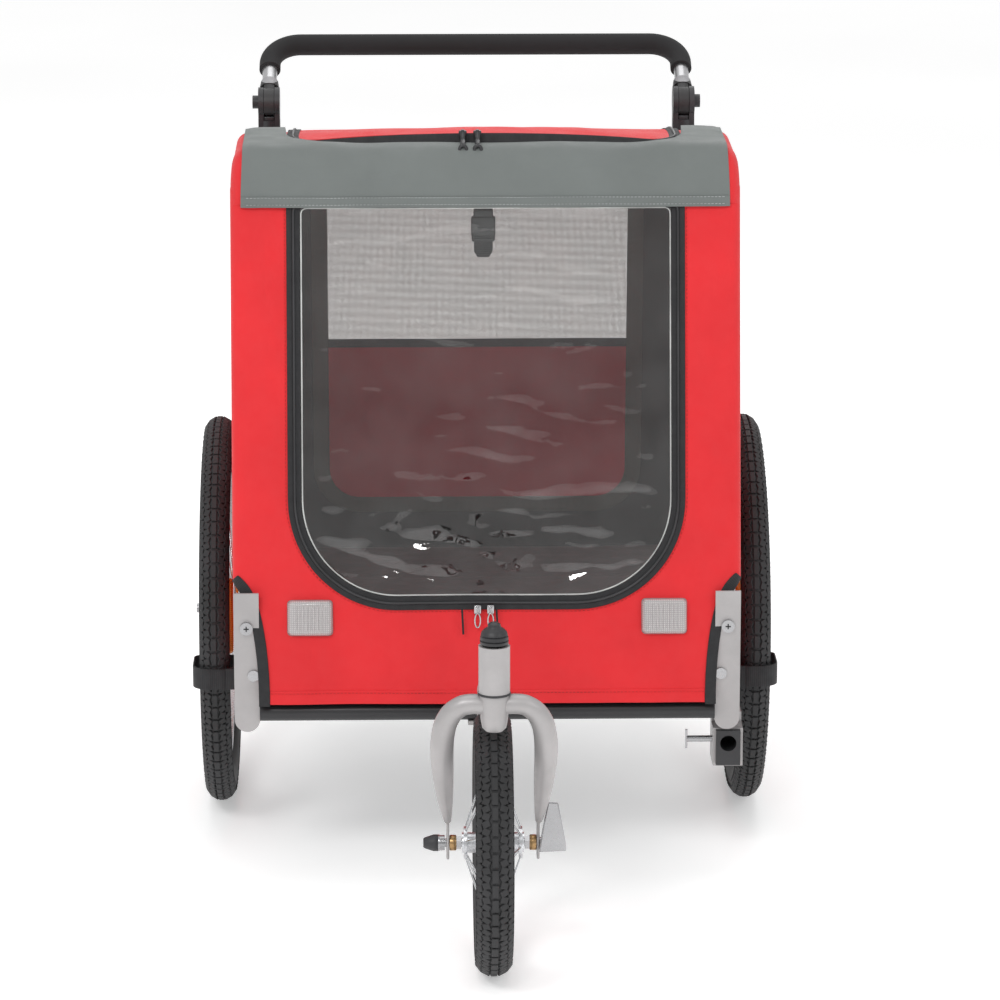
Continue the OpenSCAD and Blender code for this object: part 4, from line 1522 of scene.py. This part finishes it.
@dataclass
class SideWalls:
    """The red side walls above the wheels and the skirts below them."""

    cabin: Cabin
    fitter: Fitter
    hem: float = 0.374
    inset: float = 0.011
    fold_low: float = 0.322
    fold_high: float = 0.40
    skirt_half: float = 0.281
    skirt_low: float = 0.243
    skirt_tall: float = 0.141
    shelf: float = 0.0275

    def build(self) -> None:
        """Makes both walls, their hems and both skirts."""
        for side in Side:
            self.wall(side)
            self.skirt(side)

    def surface(self, side: int, proud: float = 0.0) -> Lift:
        """The wall's surface, for shares along and up it.

        Args:
            side: The sign of X.
            proud: How far outside the wall the points stand.

        Returns:
            A map from shares to points.
        """

        def at(u: Array, v: Array) -> Array:
            """Points on the wall."""
            guess = self.hem + (0.86 - self.hem) * v
            for _ in range(4):
                front = self.cabin.front_y(guess)
                y = front + self.inset + (self.cabin.rear_y(guess) - front - 2 * self.inset) * u
                top = self.cabin.roof(np.full_like(u, 0.308), y - self.cabin.axle_y) - 0.008
                guess = self.hem + (top - self.hem) * v
            taper = 0.003 * smoothstep(guess, 0.60, 0.885)
            wave = 1.8 * MM * ripple(y + 0.4 * guess, guess * 0.6, 0.11, 11.0 + side)
            wave *= smoothstep(np.minimum(u, 1 - u), 0, 0.08)
            over = 0.012 * smoothstep(v, 0.955, 1.0) ** 2
            x = self.cabin.half - 0.0008 - taper + proud + np.minimum(wave, 0.4 * MM) - over
            return np.stack([side * x, y, guess], 1)

        return at

    def wall(self, side: Side) -> None:
        """One side wall with its hem."""
        tube, panel_node = f"side_tube_{side.word}", f"side_panel_{side.word}"
        wall = Bench.sheet(f"side_wall_{side.word}", 90, 64, self.surface(side.value),
                           seen(1, 2))
        Bench.thicken(wall, 1.6 * MM)
        binding = Bench.sheet(f"side_hem_{side.word}", 90, 3,
                              lambda u, v: self.surface(side.value, 1.2 * MM)(u, v * 0.03),
                              seen(1, 2))
        Bench.thicken(binding, 1.8 * MM, 0, 0.5 * MM)
        for obj, finish in ((wall, RED), (binding, BINDING)):
            obj.data.materials.append(finish.dress())
            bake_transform(obj)
            self.fitter.made.append(obj.name)
        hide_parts(panel_node)

    def skirt(self, side: Side) -> None:
        """The lower side wall behind the brackets."""
        nodes = ["side_skirts"] if side is Side.LEFT else []
        front, rear = self.cabin.axle_y - 0.325, self.cabin.axle_y + 0.337

        def surface(u: Array, v: Array) -> Array:
            """Points on the skirt."""
            y, z = front + (rear - front) * u, self.skirt_low + self.skirt_tall * v
            shelf = self.shelf * smoothstep(z, 0.366, 0.384)
            x = self.skirt_half + shelf + 1.0 * MM * ripple(y, z, 0.07, 13.0)
            return np.stack([side.value * x, y, z], 1)

        skirt = Bench.sheet(f"side_skirt_{side.word}", 80, 16, surface,
                            seen(1, 2))
        self.fitter.sheet(skirt, "chassis", RED, 1.6 * MM, "stretched", ["floor_rails"], nodes)


@dataclass
class RearWall:
    """The rear wall with its half-mesh door."""

    cabin: Cabin
    fitter: Fitter
    half: float = 0.220
    low: float = 0.288
    high: float = 0.762
    corner: float = 0.06
    band: float = 0.526
    edging: float = 0.022

    def build(self) -> None:
        """Makes the wall, the door's two cloths and its zip."""
        opening = rounded_outline(self.half + 2 * MM, self.low - 2 * MM, self.high, self.corner, 0.012)
        wall = panel("rear_wall", self.cabin.wall(self.cabin.rear_top + 0.003), opening, (0, 0.52),
                     480, 20, self.cabin.rear())
        self.fitter.sheet(wall, "chassis", DARK, 1.6 * MM, "stretched", ["rear_brackets"],
                          ["rear_panel"])
        for side in Side:
            tape = strip(f"rear_binding_{side.word}", self.corner_line(side.value), 15 * MM, 0.16, 40,
                         self.cabin.rear(1.7 * MM))
            self.fitter.fit(Bench.thicken(tape, 2.2 * MM, 0, 0.7 * MM), "chassis", BINDING, folds=True)
        self.door()

    def corner_line(self, side: int) -> Lift:
        """The line of the binding round the wall's lower corner."""
        return lambda s, out: self.cabin.cut(s, out - 6 * MM, side, self.cabin.hem)

    def door(self) -> None:
        """The rear door: red cloth below, net above."""
        edge = rounded_outline(self.half, self.low, self.high, self.corner - 2 * MM, 0.01)
        lower = self.clipped("door_cloth", self.low, self.band)
        self.fitter.sheet(lower, "door_flap", RED_PAINTED_INSIDE, 1.4 * MM, "stretched", ["rear_panel"],
                          ["rear_door"])
        # Outward faces get the red cloth; faces turned into the cabin keep the duller red, which has the
        # cabin's shade painted into its colour.
        lower.data.materials.append(RED.dress())
        for face in lower.data.polygons:
            face.material_index = int(face.normal.y > 0.3)
        upper = self.clipped("door_net", self.band - 0.006, self.high)
        self.fitter.sheet(upper, "door_flap", NET, 0.5 * MM, "stretched", ["rear_panel"])
        tape = strip("door_zip_tape", lambda s, out: edge.at(s, out - self.edging / 2 + 5.5 * MM),
                     self.edging, edge.length, 360, self.cabin.rear(0.2 * MM), 3)
        self.fitter.fit(Bench.thicken(tape, 3.4 * MM, 0, 0.8 * MM), "door_flap", EDGING, folds=True)
        seam = strip("door_seam_tape", lambda s, out: np.stack([(s - 0.5) * 2 * (self.half - 0.004),
                                                                self.band + out], 1),
                     12 * MM, 2 * self.half, 90, self.cabin.rear(0.2 * MM), 2)
        self.fitter.fit(Bench.thicken(seam, 2.6 * MM, 0, 0.7 * MM), "door_flap", DARK, folds=True)

    def clipped(self, name: str, low: float, high: float) -> Mesh:
        """A grid between two heights whose sides follow the door's outline.

        Args:
            name: The piece's name.
            low: Its lower edge.
            high: Its upper edge.

        Returns:
            The grid.
        """

        def surface(u: Array, v: Array) -> Array:
            """Points on this part of the door."""
            z = low + (high - low) * v
            drop = np.clip(self.corner + self.low - z, 0, self.corner)
            reach = self.half - self.corner + np.sqrt(np.maximum(self.corner**2 - drop**2, 0))
            return self.cabin.rear(0.0, 0.5)((u - 0.5) * 2 * reach, z)

        return Bench.sheet(name, 110, 60, surface, seen(0, 2))


@dataclass
class Floor:
    """The padded mat on the floor rails."""

    cabin: Cabin
    fitter: Fitter
    swell: float = 5 * MM
    cloth_half: float = 0.279
    cloth_z: float = 0.2295
    filled: float = 0.72
    channels: tuple[float, ...] = (0.25, 0.5, 0.75)
    seam_width: float = 0.012
    seam_depth: float = 5 * MM

    def build(self) -> None:
        """Makes the mat as a filled pad with three sewn channels."""
        low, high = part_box("floor_mat")
        size, centre = high - low, (high + low) / 2
        mat = Bench.block("floor_pad", (size.x, size.y, size.z * self.filled), centre, 6 * MM, 2)
        Bench.modify(mat, "REMESH", mode="VOXEL", voxel_size=7 * MM)
        self.inflate(mat)
        points = np.array([v.co for v in mat.data.vertices])
        for share in self.channels:
            seam = low.y + size.y * share
            dip = np.exp(-((points[:, 1] - seam) / self.seam_width) ** 2)
            points[:, 2] -= self.seam_depth * dip * (points[:, 2] > centre.z)
        points = np.clip(points, np.array(low), np.array(high))
        mat.data.vertices.foreach_set("co", points.astype(np.float32).ravel())
        Bench.smooth(mat, 60)
        self.fitter.fit(mat, "chassis", MAT, ["floor_mat"])
        self.under_cloth()

    def under_cloth(self) -> None:
        """The cloth under the mat, from the front wall to the rear wall."""
        front, rear = self.cabin.front_low + 3 * MM, self.cabin.rear_low - 3 * MM

        def surface(u: Array, v: Array) -> Array:
            """Points on the cloth."""
            x, d = (u - 0.5) * 2 * self.cloth_half, front + (rear - front) * v
            z = self.cloth_z + 0.8 * MM * ripple(x, d, 0.09, 17.0)
            return np.stack([x, self.cabin.axle_y + d, z], 1)

        cloth = Bench.sheet("floor_cloth", 60, 80, surface, seen(0, 1))
        self.fitter.sheet(cloth, "chassis", DARK, 1.2 * MM, "stretched", ["floor_rails"], folds=False)

    def inflate(self, mat: Mesh) -> None:
        """Swells the pad with a short cloth simulation, with a cap on each move."""
        rest = np.array([v.co for v in mat.data.vertices])
        Bench.activate(mat)
        cloth = mat.modifiers.new("Cloth", "CLOTH")
        cloth.settings.use_pressure = True
        cloth.settings.uniform_pressure_force = 4
        cloth.settings.effector_weights.gravity = 0
        for frame in range(1, 21):
            bpy.context.scene.frame_set(frame)
        bpy.ops.object.modifier_apply(modifier=cloth.name)
        bpy.context.scene.frame_set(1)
        move = np.array([v.co for v in mat.data.vertices]) - rest
        length = np.linalg.norm(move, axis=1, keepdims=True)
        move *= np.minimum(1, self.swell / np.maximum(length, 1e-9))
        mat.data.vertices.foreach_set("co", (rest + move).astype(np.float32).ravel())


@dataclass
class Trim:
    """Reflectors, the tether, the parking straps and the window's sliders."""

    cabin: Cabin
    fitter: Fitter
    slider_shift: float = 6 * MM
    bolt_reach: float = 0.295
    pad_z: float = 0.827
    rail_x: float = 0.2735
    webbing: float = 23 * MM

    def build(self) -> None:
        """Makes every small sewn or clipped piece."""
        for side in Side:
            self.reflector(side)
            self.window_slider(side)
            self.parking_strap(side)
        self.tether()
        self.knuckle_pads()
        self.bolt_crosses()

    def bolt_crosses(self) -> None:
        """The driver's cross in the head of each fold bolt."""
        low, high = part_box("frame_bolts")
        for side in Side:
            bars = [Bench.block("bar", (size[0] * MM, 1.6 * MM, size[1] * MM),
                                (side.value * self.bolt_reach, low.y - 0.1 * MM, (low.z + high.z) / 2),
                                0.3 * MM, 1)
                    for size in ((6.5, 1.5), (1.5, 6.5))]
            self.fitter.fit(Bench.join(f"bolt_cross_{side.word}", bars), "chassis", BLACK_STEEL)

    def knuckle_pads(self) -> None:
        """The stop at the foot of each handle knuckle's slot."""
        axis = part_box("handle_posts")
        for side in Side:
            x = side.value * (abs(axis[0].x) - 11 * MM)
            pad = Bench.block(f"knuckle_pad_{side.word}", (15 * MM, 20 * MM, 9 * MM),
                              (x, (axis[0].y + axis[1].y) / 2, self.pad_z), 1.5 * MM)
            self.fitter.fit(pad, "chassis", PLASTIC)

    def reflector(self, side: Side) -> None:
        """A ribbed clear lens on a dark base."""
        low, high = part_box("reflectors")
        x, z = side.value * (high.x - 28 * MM), (low.z + high.z) / 2
        rake = math.atan2(self.cabin.front_high - self.cabin.front_low,
                          self.cabin.front_top - self.cabin.low)
        y = float(self.cabin.front_y(np.array([z]))[0])
        place = Matrix.Translation((x, y, z)) @ Matrix.Rotation(-rake, 4, "X")
        base = Bench.block("base", (57 * MM, 12 * MM, 45 * MM), (0, 2.5 * MM, 0), 5.6 * MM, 4)
        lens = Bench.block("lens", (55 * MM, 15 * MM, 43 * MM), (0, -1.4 * MM, 0), 6.4 * MM, 5)
        ribs = [Bench.block("rib", (3.6 * MM, 2.0 * MM, 31 * MM), (shift * 4.4 * MM, -8.5 * MM, 0),
                            0.95 * MM, 2) for shift in range(-4, 5)]
        lens = Bench.join(f"reflector_lens_{side.word}", [lens, *ribs])
        base.name = f"reflector_base_{side.word}"
        for obj in (base, lens):
            obj.data.transform(place)
        self.fitter.fit(base, "chassis", GREY_PLASTIC, folds=True)
        nodes = ["reflectors"] if side is Side.LEFT else []
        self.fitter.fit(lens, "chassis", LENS, nodes, folds=True)

    def window_slider(self, side: Side) -> None:
        """A chrome slider with a drop pull and a black cord end."""
        node = f"window_slider_{side.word}"
        low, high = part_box(node)
        x, y, z = (low.x + high.x) / 2 - self.slider_shift, low.y + 1.2 * MM, high.z - 5 * MM
        body = Bench.block("body", (9 * MM, 4.6 * MM, 11 * MM), (x, y, z), 1.4 * MM)
        wing = Bench.block("wing", (3.2 * MM, 3.2 * MM, 7 * MM), (x, y - 2.6 * MM, z), 0.9 * MM)
        loop = [(x + 3.4 * MM * math.sin(a), y - 3.2 * MM, z - 13 * MM + 9 * MM * math.cos(a))
                for a in np.linspace(0, math.tau, 28, endpoint=False)]
        ring = Bench.tube("ring", np.array(loop), 1.0 * MM, True)
        obj = Bench.join(f"window_zip_{side.word}", [body, wing, ring])
        self.fitter.fit(obj, f"window_slider_{side.letter}", CHROME, [node], folds=True)
        drop, away = (31 * MM, -19 * MM) if side is Side.LEFT else (21 * MM, 7 * MM)
        tail = [(x + away + 1.5 * MM * t, y - 1.5 * MM - 4 * MM * t, high.z - 4 * MM - drop * t)
                for t in np.linspace(0, 1, 10)]
        cord = Bench.tube(f"window_pull_{side.word}", np.array(tail), 1.3 * MM)
        self.fitter.fit(cord, f"window_slider_{side.letter}", WEBBING, folds=True)

    def parking_strap(self, side: Side) -> None:
        """A webbing loop round the tyre, with a tail to the floor rail."""
        low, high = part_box("parking_straps")
        tall = high.z - low.z - 1 * MM
        wheel_low, wheel_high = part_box(f"rear_tyre_{side.word}")
        middle = abs(wheel_low.x + wheel_high.x) / 2
        reach = (wheel_high.x - wheel_low.x) / 2 + 3.0 * MM
        loop = rounded_outline(reach, low.y + 1 * MM, high.y - 1 * MM, 0.021, 0.010)

        def surface(u: Array, v: Array) -> Array:
            """Points round the loop."""
            spots = loop.at(u)
            sag = 0.6 * MM * ripple(spots[:, 0], spots[:, 1], 0.03, 21.0)
            across = side.value * (middle + spots[:, 0])
            return np.stack([across, spots[:, 1], low.z + tall * v + sag], 1)

        band = Bench.sheet(f"parking_strap_{side.word}", 160, 6, surface,
                           laid(loop.length, tall))
        nodes = ["parking_straps"] if side is Side.LEFT else []
        self.fitter.sheet(band, "chassis", WEBBING, 1.8 * MM, "stretched", ["floor_rails"], nodes,
                          folds=False, edge=0.4 * MM)
        inner, outer = self.rail_x, middle - reach + 12 * MM

        def tail(u: Array, v: Array) -> Array:
            """Points on the tail to the rail."""
            x = inner + (outer - inner) * u
            y = low.y + 2.6 * MM + 3 * MM * (1 - u) ** 2
            return np.stack([side.value * x, y, low.z + tall * v], 1)

        end = Bench.sheet(f"parking_tail_{side.word}", 20, 6, tail,
                          laid(outer - inner, tall))
        self.fitter.sheet(end, "chassis", WEBBING, 1.8 * MM, "stretched", ["floor_rails"], folds=False,
                          edge=0.4 * MM)

    def tether(self) -> None:
        """The webbing tail inside the window, with half a buckle."""
        low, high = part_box("tether_strap")
        x, width = (low.x + high.x) / 2, self.webbing
        y = high.y - 8 * MM

        def surface(u: Array, v: Array) -> Array:
            """Points down the strap."""
            z = high.z - (high.z - low.z) * v
            return np.stack([x + (u - 0.5) * width * (1 - 0.35 * smoothstep(v, 0.93, 1.0)),
                             y + 3 * MM * np.sin(v * 5.0), z], 1)

        strap = Bench.sheet("tether_webbing", 6, 60, surface,
                            lambda u, v, p: np.stack([v * (high.z - low.z), u * width], 1))
        self.fitter.sheet(strap, "chassis", WEBBING, 1.6 * MM, "hung", ["roof_panel"],
                          ["tether_strap"], edge=0.4 * MM)
        z = (high.z + low.z) / 2 - 20 * MM
        parts = [Bench.block("shell", (30 * MM, 9 * MM, 26 * MM), (x, y, z), 3 * MM, 4),
                 Bench.block("mouth", (24 * MM, 7 * MM, 10 * MM), (x, y, z + 16 * MM), 2 * MM, 3),
                 Bench.block("bar", (28 * MM, 5 * MM, 4 * MM), (x, y - 1 * MM, z - 17 * MM), 1.5 * MM, 3)]
        for shift in (-12.5, 12.5):
            parts.append(Bench.block("prong", (4 * MM, 6 * MM, 20 * MM),
                                     (x + shift * MM, y, z - 8 * MM), 1.6 * MM, 3))
        buckle = Bench.join("tether_buckle", parts)
        self.fitter.fit(buckle, "chassis", PLASTIC, folds=True)


@dataclass
class Wheel:
    """One wheel's tyre with its tread, and its small fittings."""

    fitter: Fitter
    tyre_node: str
    body: str
    rows: int
    slim: float = 1.0
    depth: float = 2.2 * MM
    spread: tuple[float, ...] = (0.0, 27.0, 52.0)

    def build(self) -> None:
        """Makes the carcass and the tread blocks as one tyre."""
        low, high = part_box(self.tyre_node)
        centre = (low + high) / 2
        r, width = (high.z - low.z) / 2, high.x - low.x
        minor = width / 2 - self.depth
        ring = r - width / 2
        seat = ring - width / 2 + 3 * MM
        profile = []
        for step in range(36):
            a = math.tau * step / 36
            radius = ring + minor * math.cos(a)
            profile.append(((minor - 0.4 * MM) * math.sin(a), max(radius, seat)))
        tyre = Bench.spun(f"{self.tyre_node}_carcass", profile, centre, "X", 128)
        blocks = [self.blocks(centre, ring, minor, angle, hand)
                  for angle in self.spread for hand in ((-1, 1) if angle else (1,))]
        rib = ring + minor * 0.12
        ribs = [Bench.tube("bead", self.circle(centre, rib, hand * (minor - 0.2 * MM)), 0.9 * MM, True, 1)
                for hand in (-1, 1)]
        tyre = Bench.join(f"{self.tyre_node}_treaded", [tyre, *blocks, *ribs])
        shift = Matrix.Translation(centre)
        tyre.data.transform(shift @ Matrix.Diagonal((self.slim, 1, 1, 1)) @ shift.inverted())
        self.fitter.fit(tyre, self.body, RUBBER, [self.tyre_node])
        self.valve(centre, seat)

    @staticmethod
    def circle(centre: Vector, radius: float, shift: float) -> Array:
        """A circle about the axle, shifted along it."""
        turn = np.linspace(0, math.tau, 128, endpoint=False)
        return np.stack([np.full(128, centre.x + shift), centre.y + radius * np.cos(turn),
                         centre.z + radius * np.sin(turn)], 1)

    def blocks(self, centre: Vector, ring: float, minor: float, angle: float, hand: int) -> Mesh:
        """One row of tread blocks at an angle from the crown.

        Args:
            centre: The wheel's centre.
            ring: The radius of the circle that the tyre's section turns about.
            minor: The section's radius, without the tread.
            angle: Degrees from the crown.
            hand: The side of the crown, 1 or -1.

        Returns:
            The row as one mesh.
        """
        pitch = math.tau * (ring + minor) / self.rows
        middle = angle == 0
        size = (7.5 * MM, pitch * 0.86, 5 * MM) if middle else (9.5 * MM, pitch * 0.46, 4.6 * MM)
        Bench.clear()
        bpy.ops.mesh.primitive_cube_add(size=1)
        block = bpy.context.object
        block.scale = size
        Bench.settle(block, "block")
        bpy.ops.object.mode_set(mode="EDIT")
        bpy.ops.mesh.select_all(action="SELECT")
        bpy.ops.mesh.bevel(offset=0.7 * MM, segments=1, affect="EDGES")
        bpy.ops.object.mode_set(mode="OBJECT")
        rise = minor + self.depth - size[2] / 2
        places = []
        count = self.rows * (1 if middle else 2)
        lean = Matrix.Rotation(math.radians(hand * angle), 4, "Y")
        for step in range(count):
            turn = math.tau * step / count + 0.02 * angle
            skew = 0 if middle else hand * (0.42 if step % 2 else -0.32)
            places.append(Matrix.Translation(centre) @ Matrix.Rotation(turn, 4, "X")
                          @ Matrix.Translation((0, 0, ring)) @ lean
                          @ Matrix.Translation((0, 0, rise)) @ Matrix.Rotation(skew, 4, "Z"))
        return Bench.repeat("row", block, places)

    def valve(self, centre: Vector, seat: float) -> None:
        """The valve stem with its cap, inside the rim."""
        lathe = [(0, 0.1 * MM), (0, 3 * MM), (9 * MM, 3 * MM), (9 * MM, 2.4 * MM), (26 * MM, 2.4 * MM),
                 (26 * MM, 3.1 * MM), (34 * MM, 2.9 * MM), (35 * MM, 0.1 * MM)]
        stem = Bench.spun(f"{self.body}_valve", lathe, (0, 0, 0), "Z", 16)
        place = Matrix.Translation(centre) @ Matrix.Rotation(math.radians(200), 4, "X")
        stem.data.transform(place @ Matrix.Translation((0, 0, seat - 46 * MM)))
        self.fitter.fit(stem, self.body, PLASTIC)


@dataclass
class RearWheels:
    """Both rear wheels, with amber reflectors between their spokes."""

    fitter: Fitter

    def build(self) -> None:
        """Makes tyres and reflectors."""
        for side in Side:
            Wheel(self.fitter, f"rear_tyre_{side.word}", f"rear_wheel_{side.word}", 84, 0.87).build()
            self.reflectors(side)

    def reflectors(self, side: Side) -> None:
        """Two amber reflectors over the ones in the spokes."""
        low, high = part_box(f"rear_tyre_{side.word}")
        centre = (low + high) / 2
        parts = []
        inward = -side.value * 14.5 * MM
        for angle in (169, 349):
            plate = Bench.block("plate", (13 * MM, 20 * MM, 96 * MM), (inward, 139 * MM, 0), 4 * MM)
            plate.data.transform(Matrix.Translation(centre) @ Matrix.Rotation(math.radians(angle), 4, "X"))
            parts.append(plate)
        obj = Bench.join(f"spoke_reflectors_{side.word}", parts)
        self.fitter.fit(obj, f"rear_wheel_{side.word}", AMBER)


@dataclass
class Head:
    """The swivel cap and the race ring."""

    fitter: Fitter

    def build(self) -> None:
        """Makes the ringed cap and the black race."""
        low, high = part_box("swivel_cap")
        x, y = (low.x + high.x) / 2, (low.y + high.y) / 2
        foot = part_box("head_tube")[1].z + 2.5 * MM
        top = high.z
        tall = top - foot
        lathe = [(-20 * MM, 0.1 * MM), (-20 * MM, 5.9 * MM), (0, 5.9 * MM), (0, 16.2 * MM),
                 (0.12 * tall, 16.5 * MM), (0.16 * tall, 15.2 * MM), (0.2 * tall, 16.3 * MM),
                 (0.33 * tall, 15.9 * MM), (0.37 * tall, 14.6 * MM), (0.41 * tall, 15.4 * MM),
                 (0.54 * tall, 14.4 * MM), (0.66 * tall, 11.6 * MM), (0.74 * tall, 8.2 * MM),
                 (0.78 * tall, 7.6 * MM), (0.9 * tall, 7.0 * MM), (0.97 * tall, 4.4 * MM),
                 (tall, 0.1 * MM)]
        cap = Bench.spun("swivel_knob", lathe, (x, y, foot), "Z", 64)
        self.fitter.fit(cap, "swivel_lock", PLASTIC, ["swivel_cap"])
        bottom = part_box("head_tube")[0].z
        ring = [(-1.3 * MM, 17.4 * MM), (-1.3 * MM, 18.4 * MM), (-0.7 * MM, 18.9 * MM),
                (0.7 * MM, 18.9 * MM), (1.3 * MM, 18.4 * MM), (1.3 * MM, 17.4 * MM)]
        race = Bench.spun("head_race", ring, (x, y, bottom), "Z", 64)
        self.fitter.fit(race, "chassis", PLASTIC)


@dataclass
class Fork:
    """The fork: a turned crown, two curved and tapered legs, and flat ends."""

    fitter: Fitter
    leg_radius: float = 0.0136

    def build(self) -> None:
        """Makes the fork as one painted piece."""
        low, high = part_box("front_rim")
        axle = (low + high) / 2
        head_low, head_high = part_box("head_tube")
        head_y, top = (head_low.y + head_high.y) / 2, head_low.z - 1.3 * MM
        crown = [(-44 * MM, 0.1 * MM), (-43 * MM, 10 * MM), (-39 * MM, 13.8 * MM), (-30 * MM, 15.6 * MM),
                 (-12 * MM, 17.2 * MM), (-2 * MM, 17.8 * MM), (0, 17.2 * MM), (0, 0.1 * MM)]
        parts = [Bench.spun("crown", crown, (0, head_y, top), "Z", 64)]
        for side in Side:
            parts.append(self.leg(side.value, head_y, top))
            parts.append(Bench.block("end", (3.4 * MM, 17 * MM, 50 * MM),
                                     (side.value * 52.5 * MM, axle.y - 1 * MM, axle.z + 7 * MM), 1.5 * MM))
        fork = Bench.join("fork_painted", parts)
        self.fitter.fit(fork, "caster", SILVER, ["fork"])

    def leg(self, side: int, head_y: float, top: float) -> Mesh:
        """One leg, from the crown out, over and down to the axle.

        Args:
            side: The sign of X.
            head_y: The steering axis, front to back.
            top: The height of the crown's top.

        Returns:
            The leg.
        """
        knots = np.array([(8, 0, -13, 0.84), (28, 0, -10.5, 0.86), (42, 2, -16, 0.9),
                          (52.5, 5, -28, 0.95), (58.5, 9, -46, 1.0), (60, 16, -72, 1.0),
                          (58.5, 27, -100, 0.93), (56.5, 41, -130, 0.76),
                          (54.2, 56, -156, 0.53), (52.8, 67, -172, 0.3)])
        steps = np.linspace(0, len(knots) - 1, 61)
        lines = (np.interp(steps, np.arange(len(knots)), knots[:, i]) for i in range(4))
        x, y, z, share = (softened(line, 9) for line in lines)
        path = np.stack([side * x * MM, head_y + y * MM, top + z * MM], 1)
        return Bench.tube("leg", path, self.leg_radius, sides=6, taper=share)


@dataclass
class FrontAxle:
    """The nuts on the front axle and the flat plate of its quick release."""

    fitter: Fitter
    plate_thick: float = 3.2 * MM

    def build(self) -> None:
        """Makes the end nut, two spacers and the plate."""
        low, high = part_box("front_rim")
        axle = (low + high) / 2
        cone = [(-81 * MM, 0.1 * MM), (-81 * MM, 5.0 * MM), (-79 * MM, 6.6 * MM), (-69 * MM, 9.8 * MM),
                (-64 * MM, 9.8 * MM), (-63 * MM, 9.0 * MM), (-56 * MM, 9.0 * MM), (-56 * MM, 0.1 * MM)]
        nut = Bench.spun("axle_end_nut", cone, (0, axle.y, axle.z), "X", 32)
        self.fitter.fit(nut, "caster", PLASTIC)
        for side in Side:
            near, far = 42.5 * MM, 50.5 * MM
            ring = [(near, 4.2 * MM), (near, 8.6 * MM), (near + 1 * MM, 9.2 * MM),
                    (far - 1 * MM, 9.2 * MM), (far, 8.6 * MM), (far, 4.2 * MM)]
            spacer = Bench.spun(f"axle_spacer_{side.word}", [(side.value * a, r) for a, r in ring],
                                (0, axle.y, axle.z), "X", 24)
            self.fitter.fit(spacer, "caster", BRONZE)
        self.plate(axle)

    def plate(self, axle: Vector) -> None:
        """The release plate: wide at the axle, narrow and rounded at its end."""
        corners = [(53 * MM, -8 * MM, 2.5 * MM), (85 * MM, -7 * MM, 4 * MM), (84 * MM, 6 * MM, 4 * MM),
                   (75.5 * MM, 52 * MM, 4 * MM), (63.5 * MM, 53 * MM, 4 * MM), (57 * MM, 20 * MM, 4 * MM)]
        Bench.clear()
        bpy.ops.mesh.primitive_circle_add(vertices=len(corners), radius=1, fill_type="NGON")
        plate = bpy.context.object
        for vertex, (x, z, _) in zip(plate.data.vertices, corners):
            vertex.co = (x, 0, z)
        bpy.ops.object.mode_set(mode="EDIT")
        bpy.ops.mesh.select_all(action="SELECT")
        bpy.ops.mesh.extrude_region_move(TRANSFORM_OT_translate={"value": (0, self.plate_thick, 0)})
        bpy.ops.object.mode_set(mode="OBJECT")
        plate.data.transform(Matrix.Translation((0, axle.y - 14 * MM, axle.z)))
        Bench.smooth(plate, 30)
        Bench.modify(plate, "BEVEL", width=3.5 * MM, segments=4, limit_method="ANGLE",
                     angle_limit=math.radians(35), use_clamp_overlap=True)
        boss = [(54 * MM, 0.1 * MM), (54 * MM, 6 * MM), (66 * MM, 6 * MM), (68 * MM, 4.6 * MM),
                (68 * MM, 0.1 * MM)]
        hub = Bench.spun("boss", boss, (0, axle.y, axle.z), "X", 24)
        neck = Bench.block("neck", (13 * MM, 13 * MM, 12 * MM), (62 * MM, axle.y - 7 * MM, axle.z),
                           3 * MM)
        obj = Bench.join("release_plate", [plate, hub, neck])
        self.fitter.fit(obj, "front_release", ZINC, ["qr_lever"])


@dataclass
class Hardware:
    """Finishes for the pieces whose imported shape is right."""

    nodes: dict[str, Mesh]

    def build(self) -> None:
        """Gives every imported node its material."""
        by_finish: dict[Finish, Sequence[str]] = {
            SILVER: ["floor_rails", "front_brackets", "rear_brackets", "front_arm", "head_tube",
                     "wheel_mounts", "hitch_bracket", "side_tube_left", "side_tube_right"],
            BLACK_STEEL: ["floor_crosses"],
            TUBE: ["handle_posts", "handle_bar"],
            ZINC: ["frame_bolts", "rear_axles", "hitch_pin", "front_axle",
                   "frame_latch_left", "frame_latch_right", "release_button_left",
                   "release_button_right"],
            SPOKE: ["front_spokes", "rear_spokes_left", "rear_spokes_right"],
            ALLOY: ["front_rim", "front_hub", "rear_rim_left", "rear_hub_left", "rear_rim_right",
                    "rear_hub_right"],
            PLASTIC: ["hitch_socket", "post_feet", "handle_knuckles", "handle_button_left",
                      "handle_button_right"],
            YOKE: ["handle_yokes"],
            FOAM: ["handle_grip"],
        }
        for finish, names in by_finish.items():
            for name in names:
                obj = self.nodes[name]
                obj.data.materials.clear()
                obj.data.materials.append(finish.dress())
                LOG.info("%s in %s", name, finish.name)


def main() -> None:
    """Builds the trailer piece by piece."""
    logging.basicConfig(level=logging.INFO, format="%(name)s: %(message)s")
    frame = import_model()
    low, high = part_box("rear_rim_left")
    axle_y = (low.y + high.y) / 2
    fitter, cabin = Fitter(), Cabin(axle_y)
    Studio(axle_y).build()
    Hardware(frame["nodes"]).build()
    FrontWall(cabin, fitter).build()
    FrontWindow(cabin, fitter).build()
    Visor(cabin, fitter).build()
    Roof(cabin, fitter).build()
    SideWalls(cabin, fitter).build()
    RearWall(cabin, fitter).build()
    Floor(cabin, fitter).build()
    Trim(cabin, fitter).build()
    RearWheels(fitter).build()
    Wheel(fitter, "front_tyre", "front_wheel", 54).build()
    Head(fitter).build()
    Fork(fitter).build()
    FrontAxle(fitter).build()
    LOG.info("%d new pieces", len(fitter.made))


if __name__ == "__main__":
    main()
